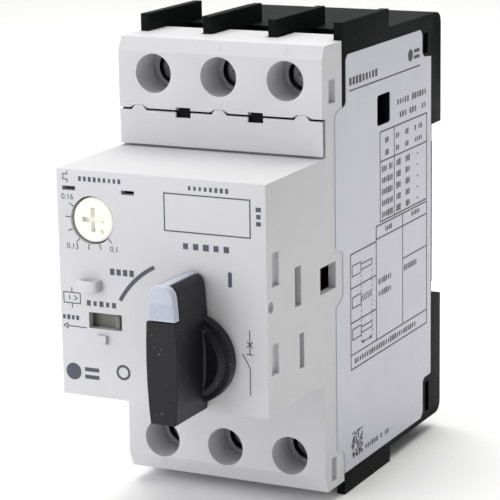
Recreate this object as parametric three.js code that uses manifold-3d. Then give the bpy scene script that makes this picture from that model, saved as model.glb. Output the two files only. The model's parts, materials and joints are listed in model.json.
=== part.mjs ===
// Three-pole motor protection breaker for a 35 mm rail, 45 mm wide.
// Millimetres. The origin is the middle of the rail seat: +Z is up, and the front faces -Y.
// The casing halves, the terminals, the release of each pole, the contacts, the turning handle and the
// setting dial are separate solids. The pieces that move stand at rest: contacts closed, handle upright.
import * as THREE from "three";
import { mergeVertices } from "three/addons/utils/BufferGeometryUtils.js";
import Module from "manifold-3d";

const wasm = await Module();
wasm.setup();

// ---- driving dimensions ----
const HALF = 22.35; // half the width of the casing
const WALL = 1.6;
const GAP = 0.3; // clearance between pieces that touch or pass

const FRONT_Y = -82.3; // plate with the handle and the dial
const TERMINAL_Y = -56.9; // front of both terminal blocks
const JOINT_Y = -47.6; // joint between the pale and the black casing
const TONGUE_Y = -39.7; // back end of the pale roofs over the terminals
const ENTRY_END_Y = -30.3; // back end of the wire entries
const SEAT_Y = 0; // plane where the rail sits
const BACK_Y = 5; // back of the two hook blocks

const BLOCK_TOP = 21.4; // front block, measured at the plate
const BLOCK_BOTTOM = -23.6;
const TOP_Z = 43.5;
const BOTTOM_Z = -46.6;
const CHAMFER_TOP = 40.9; // where the terminal front turns into its chamfer
const CHAMFER_BOTTOM = -43.3;
const CHAMFER_DEPTH = 1.4;
const RAIL_RECESS = 19.24; // half the height of the recess for the rail
const RAIL_HALF = 17.5; // half the height of the rail itself
const SEAT_HALF = 15.5; // half the height of the raised pad that the rail touches

const POLES = [-14.5, 0, 14.5];
const PARTITIONS = [-7.25, 7.25];
const PARTITION_HALF = 0.85;
const CHAMBER_SIDE = HALF - WALL;
const SCREW_TOP = 36.5;
const SCREW_BOTTOM = -39.5;
const ACCESS_RADIUS = 3.96;
const TUBE_RADIUS = 5.2;
const TUBE_STEP_Y = -49.5; // where the screw tube widens round the screw head
const TUBE_END_Y = -47.9;
const TUBE_WIDE_RADIUS = 4.5;
const SCREW_END_Y = -25.6;

const FIN_FRONT_Y = -47.3;
const FIN_BACK_Y = -23.8;
const FIN_TOP = 47;
const FIN_BOTTOM = -49.7;

const COVER_BOTTOM = 22.05; // cover of the accessory slot
const COVER_TOP = 28.95;
const COVER_THICK = 0.6;
const COVER_RECESS = 1.4;
const COVER_TABS = [-18, 0, 18];
const COVER_NOTCHES = [-8, 8];
const SOCKET = { flangeHalf: 22.15, half: 19.8, wall: 0.9, low: 22, high: 28.7, back: -49.2 };

const EYELET = { left: -17.6, right: -13.1, rise: 1.9, shoulder: 0.9, low: -2.2 };
const STOP_PEG = { x: [-14.15, -12.07], z: [-12.56, -10.86], rise: 0.8 };
const TEST_WINDOW = { x: [-16.1, -8.8], z: [-9.74, -6.55] };
const SEAL_SLOTS = { x: [[-21.15, -18.26], [-8.18, -5.34]], z: [17.25, 18.1] };
const SEAL_HOLE = { back: 1.65, z: -2.3, radius: 1.1 };
const OPENING_DEPTH = 3; // how far behind the front plate its small openings reach

const SCREW = { headY: -47.2, headRadius: 3.2, headHigh: 3, shankRadius: 1.9, slotHalf: 0.4, slotReach: 2.1 };
const CLAMP = { y: -43.8, half: 4.6, thick: 1.3 };
const CONTACT_SPRING = { radius: 1.3, length: 10, turns: 5, wire: 0.5 };
const LATCH_SPRING = { radius: 1.2, length: 10, turns: 6, wire: 0.5 };
const TEST_SPRING = { radius: 1.3, turns: 6, wire: 0.5, z: -18 };

const KNOB = { x: 7.1, z: -12.9, discRadius: 8.7, discThick: 2.1, front: 13.5, tip: 16.8, tail: 9.8 };
const DIAL = { x: -14.7, z: 11.7, radius: 4.45, hole: 4.75, sunk: 0.4 };

// ---- finishes ----
const FINISH = {
  palePlastic: { color: 0xd2d3d8, roughness: 0.5, metalness: 0 },
  blackPlastic: { color: 0x26282b, roughness: 0.45, metalness: 0 },
  knobPlastic: { color: 0x25272b, roughness: 0.5, metalness: 0 },
  tabPlastic: { color: 0xcfd3dc, roughness: 0.5, metalness: 0 },
  dialPlastic: { color: 0xf4f2ee, roughness: 0.4, metalness: 0 },
  labelFilm: { color: 0xbfc0cc, roughness: 0.25, metalness: 0 },
  sliderPlastic: { color: 0x6f7068, roughness: 0.55, metalness: 0 },
  innerPlastic: { color: 0x3a332c, roughness: 0.6, metalness: 0 },
  copper: { color: 0xb87548, roughness: 0.35, metalness: 1 },
  brass: { color: 0xc2a15a, roughness: 0.35, metalness: 1 },
  zincSteel: { color: 0xb9bcc0, roughness: 0.35, metalness: 1 },
  springSteel: { color: 0x8d9095, roughness: 0.3, metalness: 1 },
};

// ---- geometry helpers ----
// Turns a closed three.js geometry into a solid; faces collapsed at a pole or an axis are dropped.
function solid(geometry) {
  const loose = geometry.index ? geometry.toNonIndexed() : geometry;
  const bare = new THREE.BufferGeometry().setAttribute("position", loose.getAttribute("position"));
  const merged = mergeVertices(bare, 1e-4);
  const index = merged.index.array;
  const faces = [];
  for (let i = 0; i < index.length; i += 3) {
    const [a, b, c] = [index[i], index[i + 1], index[i + 2]];
    if (a !== b && b !== c && c !== a) faces.push(a, b, c);
  }
  return new wasm.Manifold(
    new wasm.Mesh({
      numProp: 3,
      vertProperties: merged.attributes.position.array,
      triVerts: new Uint32Array(faces),
    }),
  );
}

// Turns a solid back into a geometry that a mesh can hold, with its flat faces simplified first.
function geometryOf(shape) {
  const mesh = shape.asOriginal().simplify(0.002).getMesh();
  const geometry = new THREE.BufferGeometry();
  geometry.setAttribute("position", new THREE.BufferAttribute(new Float32Array(mesh.vertProperties), 3));
  geometry.setIndex(new THREE.BufferAttribute(new Uint32Array(mesh.triVerts), 1));
  geometry.computeVertexNormals();
  return geometry;
}

// The solid of an outline pushed along Z, before it is turned to its axis.
function pushed(outline, depth, curveSegments) {
  const shape = outline instanceof THREE.Shape ? outline : shapeOf(outline);
  return new THREE.ExtrudeGeometry(shape, { depth, bevelEnabled: false, curveSegments });
}

// A box between two corners.
function block([x0, y0, z0], [x1, y1, z1]) {
  const geometry = new THREE.BoxGeometry(x1 - x0, y1 - y0, z1 - z0);
  geometry.translate((x0 + x1) / 2, (y0 + y1) / 2, (z0 + z1) / 2);
  return solid(geometry);
}

function shapeOf(points) {
  return new THREE.Shape(points.map(([a, b]) => new THREE.Vector2(a, b)));
}

// An outline in Y and Z, pushed along X.
function sideProfile(outline, x0, x1) {
  const geometry = pushed(outline, x1 - x0, 8);
  const turn = new THREE.Matrix4().makeBasis(
    new THREE.Vector3(0, 1, 0),
    new THREE.Vector3(0, 0, 1),
    new THREE.Vector3(1, 0, 0),
  );
  geometry.applyMatrix4(turn);
  geometry.translate(x0, 0, 0);
  return solid(geometry);
}

// An outline in X and Z, pushed along Y.
function frontProfile(outline, y0, y1) {
  const geometry = pushed(outline, y1 - y0, 12);
  geometry.rotateX(Math.PI / 2);
  geometry.translate(0, y1, 0);
  return solid(geometry);
}

// An outline in X and Y, pushed along Z.
function planProfile(outline, z0, z1) {
  const geometry = pushed(outline, z1 - z0, 8);
  geometry.translate(0, 0, z0);
  return solid(geometry);
}

// A round bar along Y.
function bar(x, z, radius, y0, y1, sides = 28) {
  const geometry = new THREE.CylinderGeometry(radius, radius, y1 - y0, sides);
  geometry.translate(x, (y0 + y1) / 2, z);
  return solid(geometry);
}

// A round bar along X.
function crossBar(y, z, radius, x0, x1, sides = 16) {
  const geometry = new THREE.CylinderGeometry(radius, radius, x1 - x0, sides);
  geometry.rotateZ(Math.PI / 2);
  geometry.translate((x0 + x1) / 2, y, z);
  return solid(geometry);
}

function join(...pieces) {
  return pieces.reduce((whole, piece) => whole.add(piece));
}

function cut(body, ...tools) {
  return tools.reduce((left, tool) => left.subtract(tool), body);
}

// A trapezoid standing on a line in X and Z.
function trapezoid(x, z0, z1, baseHalf, topHalf) {
  return [
    [x - baseHalf, z0],
    [x + baseHalf, z0],
    [x + topHalf, z1],
    [x - topHalf, z1],
  ];
}

// A compression spring of round wire along Y, from 0 to its length.
class Helix extends THREE.Curve {
  constructor(radius, length, turns) {
    super();
    Object.assign(this, { radius, length, turns });
  }
  getPoint(t, target = new THREE.Vector3()) {
    const angle = t * this.turns * 2 * Math.PI;
    return target.set(this.radius * Math.cos(angle), this.length * t, this.radius * Math.sin(angle));
  }
}

function coilSpring({ radius, length, turns, wire }) {
  const section = new THREE.Shape();
  section.absarc(0, 0, wire / 2, 0, 2 * Math.PI);
  const path = new Helix(radius, length - wire, turns);
  const geometry = new THREE.ExtrudeGeometry(section, {
    extrudePath: path,
    steps: turns * 9,
    curveSegments: 3,
    bevelEnabled: false,
  });
  geometry.translate(0, wire / 2, 0);
  return solid(geometry);
}

// ---- casing ----
const BLOCK_TOP_REAR = BLOCK_TOP + 0.2; // the top of the front block rises a little towards the back

function frontOuterOutline() {
  return [
    [FRONT_Y, BLOCK_BOTTOM],
    [TERMINAL_Y, BLOCK_BOTTOM],
    [TERMINAL_Y, CHAMFER_BOTTOM],
    [TERMINAL_Y + CHAMFER_DEPTH, BOTTOM_Z],
    [JOINT_Y, BOTTOM_Z],
    [JOINT_Y, TOP_Z],
    [TERMINAL_Y + CHAMFER_DEPTH, TOP_Z],
    [TERMINAL_Y, CHAMFER_TOP],
    [TERMINAL_Y, BLOCK_TOP_REAR],
    [FRONT_Y, BLOCK_TOP],
  ];
}

function frontInnerOutline() {
  const behind = JOINT_Y + 1;
  return [
    [FRONT_Y + WALL, BLOCK_BOTTOM + WALL],
    [TERMINAL_Y + WALL, BLOCK_BOTTOM + WALL],
    [TERMINAL_Y + WALL, CHAMFER_BOTTOM + 0.5],
    [TERMINAL_Y + WALL + CHAMFER_DEPTH, BOTTOM_Z + WALL],
    [behind, BOTTOM_Z + WALL],
    [behind, TOP_Z - WALL],
    [TERMINAL_Y + WALL + CHAMFER_DEPTH, TOP_Z - WALL],
    [TERMINAL_Y + WALL, CHAMFER_TOP - 0.5],
    [TERMINAL_Y + WALL, BLOCK_TOP - WALL],
    [FRONT_Y + WALL, BLOCK_TOP - WALL],
  ];
}

// The slots and holes in each side of the pale casing: low and high Y, low and high Z, and depth.
const SIDE_POCKETS = [
  { y: [-80.1, -77.0], z: [1.3, 7.9], depth: 0.9 },
  { y: [-80.6, -77.4], z: [-15.7, -9.7], depth: 0.9 },
  { y: [-70.1, -67.25], z: [-4.85, 3.0], depth: 4 },
  { y: [-68.25, -66.2], z: [-17.5, -10.5], depth: 4 },
  { y: [-58.5, -51.1], z: [-5.2, 0.25], depth: 4 },
  { y: [-53.9, -50.8], z: [31.9, 36.6], depth: 1.1 },
  { y: [-53.7, -51.4], z: [-45, -40.1], depth: 1.1 },
];

// A square opening through the front plate.
function plateOpening([x0, x1], [z0, z1]) {
  return block([x0, FRONT_Y - 1, z0], [x1, FRONT_Y + OPENING_DEPTH, z1]);
}

// The pale casing: front block, both terminal blocks, screw tubes and the roofs over the wire entries.
function frontHousing() {
  let body = sideProfile(frontOuterOutline(), -HALF, HALF);
  body = cut(body, sideProfile(frontInnerOutline(), -HALF + WALL, HALF - WALL));
  // the wall behind the slot cover, thick enough for its recess
  body = join(
    body,
    block([-HALF, TERMINAL_Y, BLOCK_TOP_REAR - 1.5], [HALF, TERMINAL_Y + COVER_RECESS + WALL, 31]),
  );
  for (const x of POLES) {
    for (const z of [SCREW_TOP, SCREW_BOTTOM]) {
      body = join(body, bar(x, z, TUBE_RADIUS, TERMINAL_Y + 0.4, TUBE_END_Y));
    }
    body = join(
      body,
      block([x - 5.9, JOINT_Y - 2, TOP_Z - WALL], [x + 5.9, TONGUE_Y, TOP_Z]),
      block([x - 5.9, JOINT_Y - 2, BOTTOM_Z], [x + 5.9, TONGUE_Y, BOTTOM_Z + WALL]),
    );
  }
  // boss with an eyelet for a seal, and the stop peg under the test window
  const { left, right, rise, shoulder } = EYELET;
  const eyelet = new THREE.Shape();
  eyelet.moveTo(left, FRONT_Y + 0.5);
  eyelet.lineTo(left, FRONT_Y - shoulder);
  eyelet.quadraticCurveTo(left + 0.2, FRONT_Y - rise, left + 1.7, FRONT_Y - rise);
  eyelet.lineTo(right - 1.7, FRONT_Y - rise);
  eyelet.quadraticCurveTo(right - 0.2, FRONT_Y - rise, right, FRONT_Y - shoulder);
  eyelet.lineTo(right, FRONT_Y + 0.5);
  body = join(
    body,
    planProfile(eyelet, EYELET.low, 0),
    block(
      [STOP_PEG.x[0], FRONT_Y - STOP_PEG.rise, STOP_PEG.z[0]],
      [STOP_PEG.x[1], FRONT_Y + 0.5, STOP_PEG.z[1]],
    ),
  );
  // openings in the front plate
  body = cut(
    body,
    block([-16.3, FRONT_Y - 1.2, -3], [-14.4, FRONT_Y - 0.2, 1]),
    bar(DIAL.x, DIAL.z, DIAL.hole, FRONT_Y - 1, FRONT_Y + WALL + 1, 40),
    bar(KNOB.x, KNOB.z, 3.8, FRONT_Y - 1, FRONT_Y + WALL + 1),
    plateOpening(SEAL_SLOTS.x[0], SEAL_SLOTS.z),
    plateOpening(SEAL_SLOTS.x[1], SEAL_SLOTS.z),
    plateOpening(TEST_WINDOW.x, TEST_WINDOW.z),
  );
  // recess for the slot cover, its notches, and the hole that the socket sits in
  body = cut(
    body,
    block(
      [-HALF - 1, TERMINAL_Y - 1, BLOCK_TOP_REAR],
      [HALF + 1, TERMINAL_Y + COVER_RECESS, COVER_TOP + 0.45],
    ),
    block(
      [-SOCKET.half - GAP, TERMINAL_Y - 1, SOCKET.low - GAP],
      [SOCKET.half + GAP, JOINT_Y, SOCKET.high + GAP],
    ),
  );
  for (const x of COVER_TABS) {
    const notch = trapezoid(x, COVER_TOP + 0.4, COVER_TOP + 1.05, 2.25, 0.95);
    body = cut(body, frontProfile(notch, TERMINAL_Y - 1, TERMINAL_Y + COVER_RECESS));
  }
  for (const x of COVER_NOTCHES) {
    const notch = block([x - 1.65, TERMINAL_Y - 1, COVER_TOP - 1], [x + 1.65, -54, COVER_TOP + 1]);
    body = cut(body, notch);
  }
  for (const x of POLES) {
    for (const z of [SCREW_TOP, SCREW_BOTTOM]) {
      body = cut(
        body,
        bar(x, z, ACCESS_RADIUS, TERMINAL_Y - 1, TUBE_STEP_Y + 0.5, 40),
        bar(x, z, TUBE_WIDE_RADIUS, TUBE_STEP_Y, TUBE_END_Y + 1, 40),
      );
    }
  }
  for (const pocket of SIDE_POCKETS) {
    const [y0, y1] = pocket.y;
    const [z0, z1] = pocket.z;
    body = cut(
      body,
      block([HALF - pocket.depth, y0, z0], [HALF + 1, y1, z1]),
      block([-HALF - 1, y0, z0], [-HALF + pocket.depth, y1, z1]),
    );
  }
  return cut(
    body,
    crossBar(FRONT_Y + SEAL_HOLE.back, SEAL_HOLE.z, SEAL_HOLE.radius, HALF - 1, HALF + 1),
    crossBar(FRONT_Y + SEAL_HOLE.back, SEAL_HOLE.z, SEAL_HOLE.radius, -HALF - 1, -HALF + 1),
  );
}

// The window of the label, and the slots near the back edge of the black casing.
const LABEL_WINDOW = { y: [-30.3, -23.6], z: [23.7, 30], corner: 0.8 };
const REAR_POCKETS = [
  { y: [-5, -2.5], z: [35.1, 39.5], depth: 4 },
  { y: [-3.9, -1.7], z: [-44.4, -37.6], depth: 4 },
  { ...LABEL_WINDOW, depth: 4 },
];

const REAR_TOP = 43.2;
const REAR_BOTTOM = -46.3;
const REAR_FRONT_Y = JOINT_Y + GAP;
const LATCH = { wide: 6.7, narrow: 5.2, front: 1.1, step: 2.6, back: 4.7, lip: 16.9, tail: -48.5 };

function rearOutline() {
  const corner = 3;
  const shape = new THREE.Shape();
  shape.moveTo(REAR_FRONT_Y, REAR_BOTTOM);
  shape.lineTo(BACK_Y - corner, REAR_BOTTOM);
  shape.quadraticCurveTo(BACK_Y, REAR_BOTTOM, BACK_Y, REAR_BOTTOM + corner);
  shape.lineTo(BACK_Y, -RAIL_RECESS);
  shape.lineTo(SEAT_Y - GAP, -RAIL_RECESS);
  shape.lineTo(SEAT_Y - GAP, -SEAT_HALF);
  shape.lineTo(SEAT_Y, -SEAT_HALF);
  shape.lineTo(SEAT_Y, SEAT_HALF);
  shape.lineTo(SEAT_Y - GAP, SEAT_HALF);
  shape.lineTo(SEAT_Y - GAP, RAIL_RECESS);
  shape.lineTo(BACK_Y, RAIL_RECESS);
  shape.lineTo(BACK_Y, REAR_TOP - corner);
  shape.quadraticCurveTo(BACK_Y, REAR_TOP, BACK_Y - corner, REAR_TOP);
  shape.lineTo(REAR_FRONT_Y, REAR_TOP);
  return shape;
}

// The three pole chambers between the side walls and the partitions.
function chambers() {
  const edges = [-CHAMBER_SIDE];
  for (const x of PARTITIONS) edges.push(x - PARTITION_HALF, x + PARTITION_HALF);
  edges.push(CHAMBER_SIDE);
  return [
    [edges[0], edges[1]],
    [edges[2], edges[3]],
    [edges[4], edges[5]],
  ];
}

// The black casing: three pole chambers, the fins between the wires, the rail recess and the latch guide.
function rearHousing() {
  let body = sideProfile(rearOutline(), -HALF, HALF);
  const inner = { top: REAR_TOP - WALL, bottom: REAR_BOTTOM + WALL, back: SEAT_Y - WALL };
  chambers().forEach(([x0, x1], pole) => {
    body = cut(
      body,
      block([x0, REAR_FRONT_Y - 1, inner.bottom], [x1, inner.back, inner.top]),
      block([x0, inner.back - 1, 21], [x1, BACK_Y - WALL, inner.top]),
      block([x0, REAR_FRONT_Y - 1, inner.top - 1], [x1, ENTRY_END_Y, REAR_TOP + 1]),
      block([x0, REAR_FRONT_Y - 1, REAR_BOTTOM - 1], [x1, ENTRY_END_Y, inner.bottom + 1]),
    );
    if (pole !== 1) body = cut(body, block([x0, inner.back - 1, inner.bottom], [x1, BACK_Y - WALL, -21]));
  });
  const fins = [[-HALF, -CHAMBER_SIDE + 0.2]];
  for (const x of PARTITIONS) fins.push([x - PARTITION_HALF, x + PARTITION_HALF]);
  fins.push([CHAMBER_SIDE - 0.2, HALF]);
  for (const [x0, x1] of fins) {
    body = join(
      body,
      block([x0, FIN_FRONT_Y, REAR_TOP - 3], [x1, FIN_BACK_Y, FIN_TOP]),
      block([x0, FIN_FRONT_Y, FIN_BOTTOM], [x1, FIN_BACK_Y, REAR_BOTTOM + 3]),
    );
  }
  // upper hook behind the rail, and the lips that carry it
  const hook = [
    [SEAT_Y + 3.3, RAIL_RECESS + 1],
    [SEAT_Y + 1.5, RAIL_HALF + 0.2],
    [SEAT_Y + 1.5, RAIL_HALF - 0.7],
    [BACK_Y, RAIL_HALF - 0.2],
    [BACK_Y, RAIL_RECESS + 1],
  ];
  body = join(body, sideProfile(hook, -17, 17));
  // guide for the latch, wide in front and narrow behind, so that the latch can't fall out
  body = cut(
    body,
    block([-7, 0.8, FIN_BOTTOM], [7, 2.9, -RAIL_RECESS + 0.5]),
    block([-5.5, 2.5, FIN_BOTTOM], [5.5, BACK_Y + 1, -RAIL_RECESS + 0.5]),
  );
  body = join(body, block([-2, 0.6, -40], [2, 3.9, -38.3]));
  for (const { y, z, depth } of REAR_POCKETS) {
    body = cut(
      body,
      block([-HALF - 1, y[0], z[0]], [-HALF + depth, y[1], z[1]]),
      block([HALF - depth, y[0], z[0]], [HALF + 1, y[1], z[1]]),
    );
  }
  return body;
}

// The rating label: a film on the right side, cut round the slots and the window.
function sideLabel() {
  const outline = new THREE.Shape();
  outline.moveTo(-47.6, -45);
  outline.lineTo(-6.8, -45);
  outline.lineTo(-5.6, -44);
  outline.lineTo(-5.6, -37);
  outline.lineTo(-4.6, -36.2);
  outline.lineTo(-1, -36.2);
  outline.lineTo(-1, 34.2);
  outline.lineTo(-5, 34.6);
  outline.lineTo(-6, 35.6);
  outline.lineTo(-6, 39.5);
  outline.lineTo(-7, 40.5);
  outline.lineTo(-44.9, 40.5);
  outline.lineTo(-45.9, 39.5);
  outline.lineTo(-45.9, 31.4);
  outline.quadraticCurveTo(-46.1, 30.2, -48.6, 30.2);
  outline.quadraticCurveTo(-51.2, 30, -51.2, 28);
  outline.lineTo(-51.2, 2.6);
  outline.lineTo(-49.4, 1.9);
  outline.quadraticCurveTo(-47.8, 1.6, -47.8, 0.4);
  outline.lineTo(-47.8, -7);
  outline.quadraticCurveTo(-47.9, -8.4, -51.2, -9.4);
  outline.lineTo(-51.2, -38.4);
  outline.quadraticCurveTo(-51.2, -39.6, -49.6, -39.8);
  outline.quadraticCurveTo(-47.6, -40, -47.6, -41.4);
  const [y0, y1] = LABEL_WINDOW.y;
  const [z0, z1] = LABEL_WINDOW.z;
  const corner = LABEL_WINDOW.corner;
  const window = new THREE.Path();
  window.moveTo(y0 + corner, z0);
  window.lineTo(y1 - corner, z0);
  window.quadraticCurveTo(y1, z0, y1, z0 + corner);
  window.lineTo(y1, z1 - corner);
  window.quadraticCurveTo(y1, z1, y1 - corner, z1);
  window.lineTo(y0 + corner, z1);
  window.quadraticCurveTo(y0, z1, y0, z1 - corner);
  window.lineTo(y0, z0 + corner);
  window.quadraticCurveTo(y0, z0, y0 + corner, z0);
  outline.holes.push(window);
  return sideProfile(outline, HALF, HALF + 0.15);
}

// The black socket behind the slot cover, into which an auxiliary contact block plugs.
function accessorySocket() {
  const front = TERMINAL_Y + COVER_THICK + GAP;
  const { flangeHalf, half, wall, low, high, back } = SOCKET;
  const flangeLow = BLOCK_TOP_REAR + GAP;
  const flange = block([-flangeHalf, front, flangeLow], [flangeHalf, front + 0.4, COVER_TOP + 0.2]);
  const box = block([-half, front, low], [half, back, high]);
  const rims = COVER_NOTCHES.map((x) =>
    block([x - 1.4, front, high - 1], [x + 1.4, front + 1.2, COVER_TOP + 0.7]),
  );
  const pocket = block([-half + wall, front - 1, low + wall], [half - wall, back - wall, high - wall]);
  return cut(join(flange, box, ...rims), pocket);
}

// The push-on cover of the accessory slot: a thin plate with three tabs and two snap legs.
function slotCover() {
  const y1 = TERMINAL_Y + COVER_THICK;
  let body = block([-HALF, TERMINAL_Y, COVER_BOTTOM], [HALF, y1, COVER_TOP]);
  for (const x of COVER_TABS) {
    body = join(body, frontProfile(trapezoid(x, COVER_TOP - 0.5, COVER_TOP + 1, 2.1, 0.85), TERMINAL_Y, y1));
  }
  for (const x of COVER_NOTCHES) {
    body = cut(body, block([x - 1.65, TERMINAL_Y - 1, 27.9], [x + 1.65, y1 + 1, COVER_TOP + 1]));
  }
  for (const x of [-12, 12]) {
    body = join(body, block([x - 2, y1 - 0.1, 23.3], [x + 2, y1 + 5, 24.5]));
  }
  return body;
}

// ---- operating parts ----
// The outline of the handle's blade round its turning axis, with the pointer end up.
function bladeOutline() {
  const shape = new THREE.Shape();
  shape.moveTo(-2.7, -KNOB.tail);
  shape.lineTo(2.7, -KNOB.tail);
  shape.quadraticCurveTo(3.9, 1.5, 2.75, KNOB.tip - 2.6);
  shape.quadraticCurveTo(2.5, KNOB.tip, 0, KNOB.tip);
  shape.quadraticCurveTo(-2.5, KNOB.tip, -2.75, KNOB.tip - 2.6);
  shape.quadraticCurveTo(-3.9, 1.5, -2.7, -KNOB.tail);
  return shape;
}

const BLADE_FRONT_Y = FRONT_Y - KNOB.front;
const DISC_BACK_Y = FRONT_Y - 0.2;
const TAB = { low: 10.1, cap: 1.7, roof: 1, half: 1, tongueLow: 2.5, holeZ: 12.2, holeRadius: 2.3 };

// The black handle: a disc with an upright blade, slotted for the lock tab. Its frame is on the axis.
function knob() {
  const disc = bar(0, 0, KNOB.discRadius, DISC_BACK_Y - KNOB.discThick, DISC_BACK_Y, 40);
  const blade = frontProfile(bladeOutline(), BLADE_FRONT_Y, DISC_BACK_Y - 0.6);
  const capCut = block(
    [-6, BLADE_FRONT_Y - 1, TAB.low - GAP],
    [6, BLADE_FRONT_Y + TAB.cap + GAP, KNOB.tip + 1],
  );
  const slotHalf = TAB.half + GAP;
  const roofCut = block(
    [-slotHalf, BLADE_FRONT_Y - 1, KNOB.tip - TAB.roof - GAP],
    [slotHalf, DISC_BACK_Y, KNOB.tip + 1],
  );
  const slot = block(
    [-slotHalf, BLADE_FRONT_Y + 1, TAB.tongueLow - GAP],
    [slotHalf, DISC_BACK_Y - 3.2, KNOB.tip + 1],
  );
  const shaftHole = bar(0, 0, 3 + GAP, DISC_BACK_Y - 1.5, DISC_BACK_Y + 1);
  return cut(join(disc, blade), capCut, roofCut, slot, shaftHole);
}

// The light lock tab: a cap in front, and a tongue with a padlock hole that fills the slot in the handle.
function lockTab() {
  const cap = block([-6, BLADE_FRONT_Y, TAB.low], [6, BLADE_FRONT_Y + TAB.cap, KNOB.tip]);
  const roof = block(
    [-TAB.half, BLADE_FRONT_Y, KNOB.tip - TAB.roof],
    [TAB.half, DISC_BACK_Y - 0.9, KNOB.tip],
  );
  const skin = join(cap, roof).intersect(frontProfile(bladeOutline(), BLADE_FRONT_Y, DISC_BACK_Y));
  const tongue = block(
    [-TAB.half, BLADE_FRONT_Y + 1.3, TAB.tongueLow],
    [TAB.half, DISC_BACK_Y - 3.5, KNOB.tip - TAB.roof + 0.2],
  );
  const hole = crossBar(BLADE_FRONT_Y + 6.1, TAB.holeZ, TAB.holeRadius, -2, 2, 20);
  return cut(join(skin, tongue), hole);
}

// The steel shaft of the handle, with a driving cam on its inner end.
function knobShaft() {
  const camY = TERMINAL_Y - 4.2;
  const shaft = bar(0, 0, 3, DISC_BACK_Y - 1.2, camY + 0.5, 20);
  const cam = bar(0, 0, 5.2, camY, camY + 2.2, 24);
  const lug = block([-1.5, camY, 3], [1.5, camY + 2.2, 6.4]);
  return join(shaft, cam, lug);
}

// The white setting dial, sunk in its hole, with a cross slot, a pointer dot and a stem.
function settingDial() {
  const face = FRONT_Y + DIAL.sunk;
  const disc = bar(0, 0, DIAL.radius, face, face + 2.4, 40);
  const stem = bar(0, 0, 1.5, face + 2, face + 16, 16);
  const slotLong = block([-2.4, face - 1, -0.45], [2.4, face + 0.9, 0.45]);
  const slotTall = block([-0.45, face - 1, -2.4], [0.45, face + 0.9, 2.4]);
  const dot = bar(2.1, -2.1, 0.45, face - 1, face + 0.4, 12);
  return cut(join(disc, stem), slotLong, slotTall, dot);
}

// The eccentric cam on the dial's stem, which shifts the trip point.
function settingCam() {
  const y0 = FRONT_Y + DIAL.sunk + 11;
  const ring = bar(0.9, 0, 3.6, y0, y0 + 3, 24);
  return cut(ring, bar(0, 0, 1.5 + GAP, y0 - 1, y0 + 4, 16));
}

const SLIDER_Y = FRONT_Y + WALL + 0.5;
const SLIDER_ARM_Y = -54.5;
const SLIDER_ARM = { left: -11.2, right: -9.6, thick: 1.4, low: -29 };

// The test slider behind its window, with an arm down to the trip bar.
function testSlider() {
  const plate = block([-17.6, SLIDER_Y, -10.4], [-8.6, SLIDER_Y + 1.2, -5.9]);
  const ridge = block([-10.6, FRONT_Y + 0.5, -9.4], [-9.6, SLIDER_Y + 0.5, -6.9]);
  const { left, right, thick, low } = SLIDER_ARM;
  const reach = block([left, SLIDER_Y, -14], [right, SLIDER_ARM_Y + thick, -10.2]);
  const drop = block([left, SLIDER_ARM_Y - 0.1, low], [right, SLIDER_ARM_Y + thick, -12]);
  return join(plate, ridge, reach, drop);
}

// The spring that pushes the test slider back, along X between the side wall and the arm.
function testSpring() {
  const left = -CHAMBER_SIDE + 0.1;
  const right = SLIDER_ARM.left - 0.1;
  const spring = coilSpring({ ...TEST_SPRING, length: right - left });
  return { spring, left };
}

// The trip bar: it lies across the poles and each bimetal strip pushes one of its fingers.
function tripBar() {
  let body = block([-13, -52.4, -29], [19.4, -50.8, -25.4]);
  for (const x of POLES) {
    body = join(body, block([x + 3.1, -51, -28.4], [x + 4.1, -47.8, -26]));
  }
  return join(body, block([-13, -53.6, -29], [-11.6, -52.2, -25.4]));
}

// The pressed steel frame of the switching mechanism.
function mechanismFrame() {
  const y0 = -75;
  const y1 = TERMINAL_Y - 1.5;
  const plates = [-1.2, 14.4].map((x) => block([x, y0, -20.5], [x + 1.2, y1, -4]));
  const floor = block([-1.2, y0, -21.4], [15.6, y1, -20.2]);
  const bridge = block([-1.2, y0, -4.6], [15.6, y0 + 5, -3.4]);
  return join(...plates, floor, bridge);
}

// The insulating contact carrier: a crossbar with one leg into each pole.
function contactCarrier() {
  let body = block([-18.5, -53.6, -4], [18.5, -50.2, 4]);
  for (const x of POLES) {
    body = join(
      body,
      block([x - 3.4, -50.4, -4], [x - 2.2, -37.6, 4]),
      block([x + 2.2, -50.4, -4], [x + 3.4, -37.6, 4]),
      block([x - 3.4, -37.9, 2.4], [x + 3.4, -36.9, 4]),
      block([x - 3.4, -37.9, -4], [x + 3.4, -36.9, -2.4]),
    );
  }
  return body;
}

// ---- one pole, in a frame on the pole's middle plane ----
const BRIDGE_Y = -39.5;

// A moving contact bridge: copper strip with two silver tips.
function contactBridge() {
  return join(
    block([-1.9, BRIDGE_Y, -9.5], [1.9, BRIDGE_Y + 1.2, 9.5]),
    block([-1.5, BRIDGE_Y + 1.1, 6], [1.5, BRIDGE_Y + 1.9, 9.2]),
    block([-1.5, BRIDGE_Y + 1.1, -9.2], [1.5, BRIDGE_Y + 1.9, -6]),
  );
}

// A terminal bar: screw tang, long leg and a foot that carries the fixed contact.
function terminalBar(direction, screwZ) {
  const leg = { y0: -29.5, y1: -28 };
  const near = 5.4;
  const up = (z) => z * direction;
  const span = (y0, y1, z0, z1, half = 3.9) =>
    block([-half, y0, Math.min(up(z0), up(z1))], [half, y1, Math.max(up(z0), up(z1))]);
  const end = Math.abs(screwZ) + 4.6;
  const body = join(
    span(leg.y0, leg.y1, 11.8, end, 4.4),
    span(-36.6, leg.y1, 11.8, 13.2),
    span(-36.6, -35.3, near, 13.2, 2),
    span(-37.3, -36.4, 6, 9.2, 1.5),
  );
  return cut(body, bar(0, screwZ, SCREW.shankRadius + GAP, leg.y0 - 1, leg.y1 + 1, 16));
}

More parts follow.
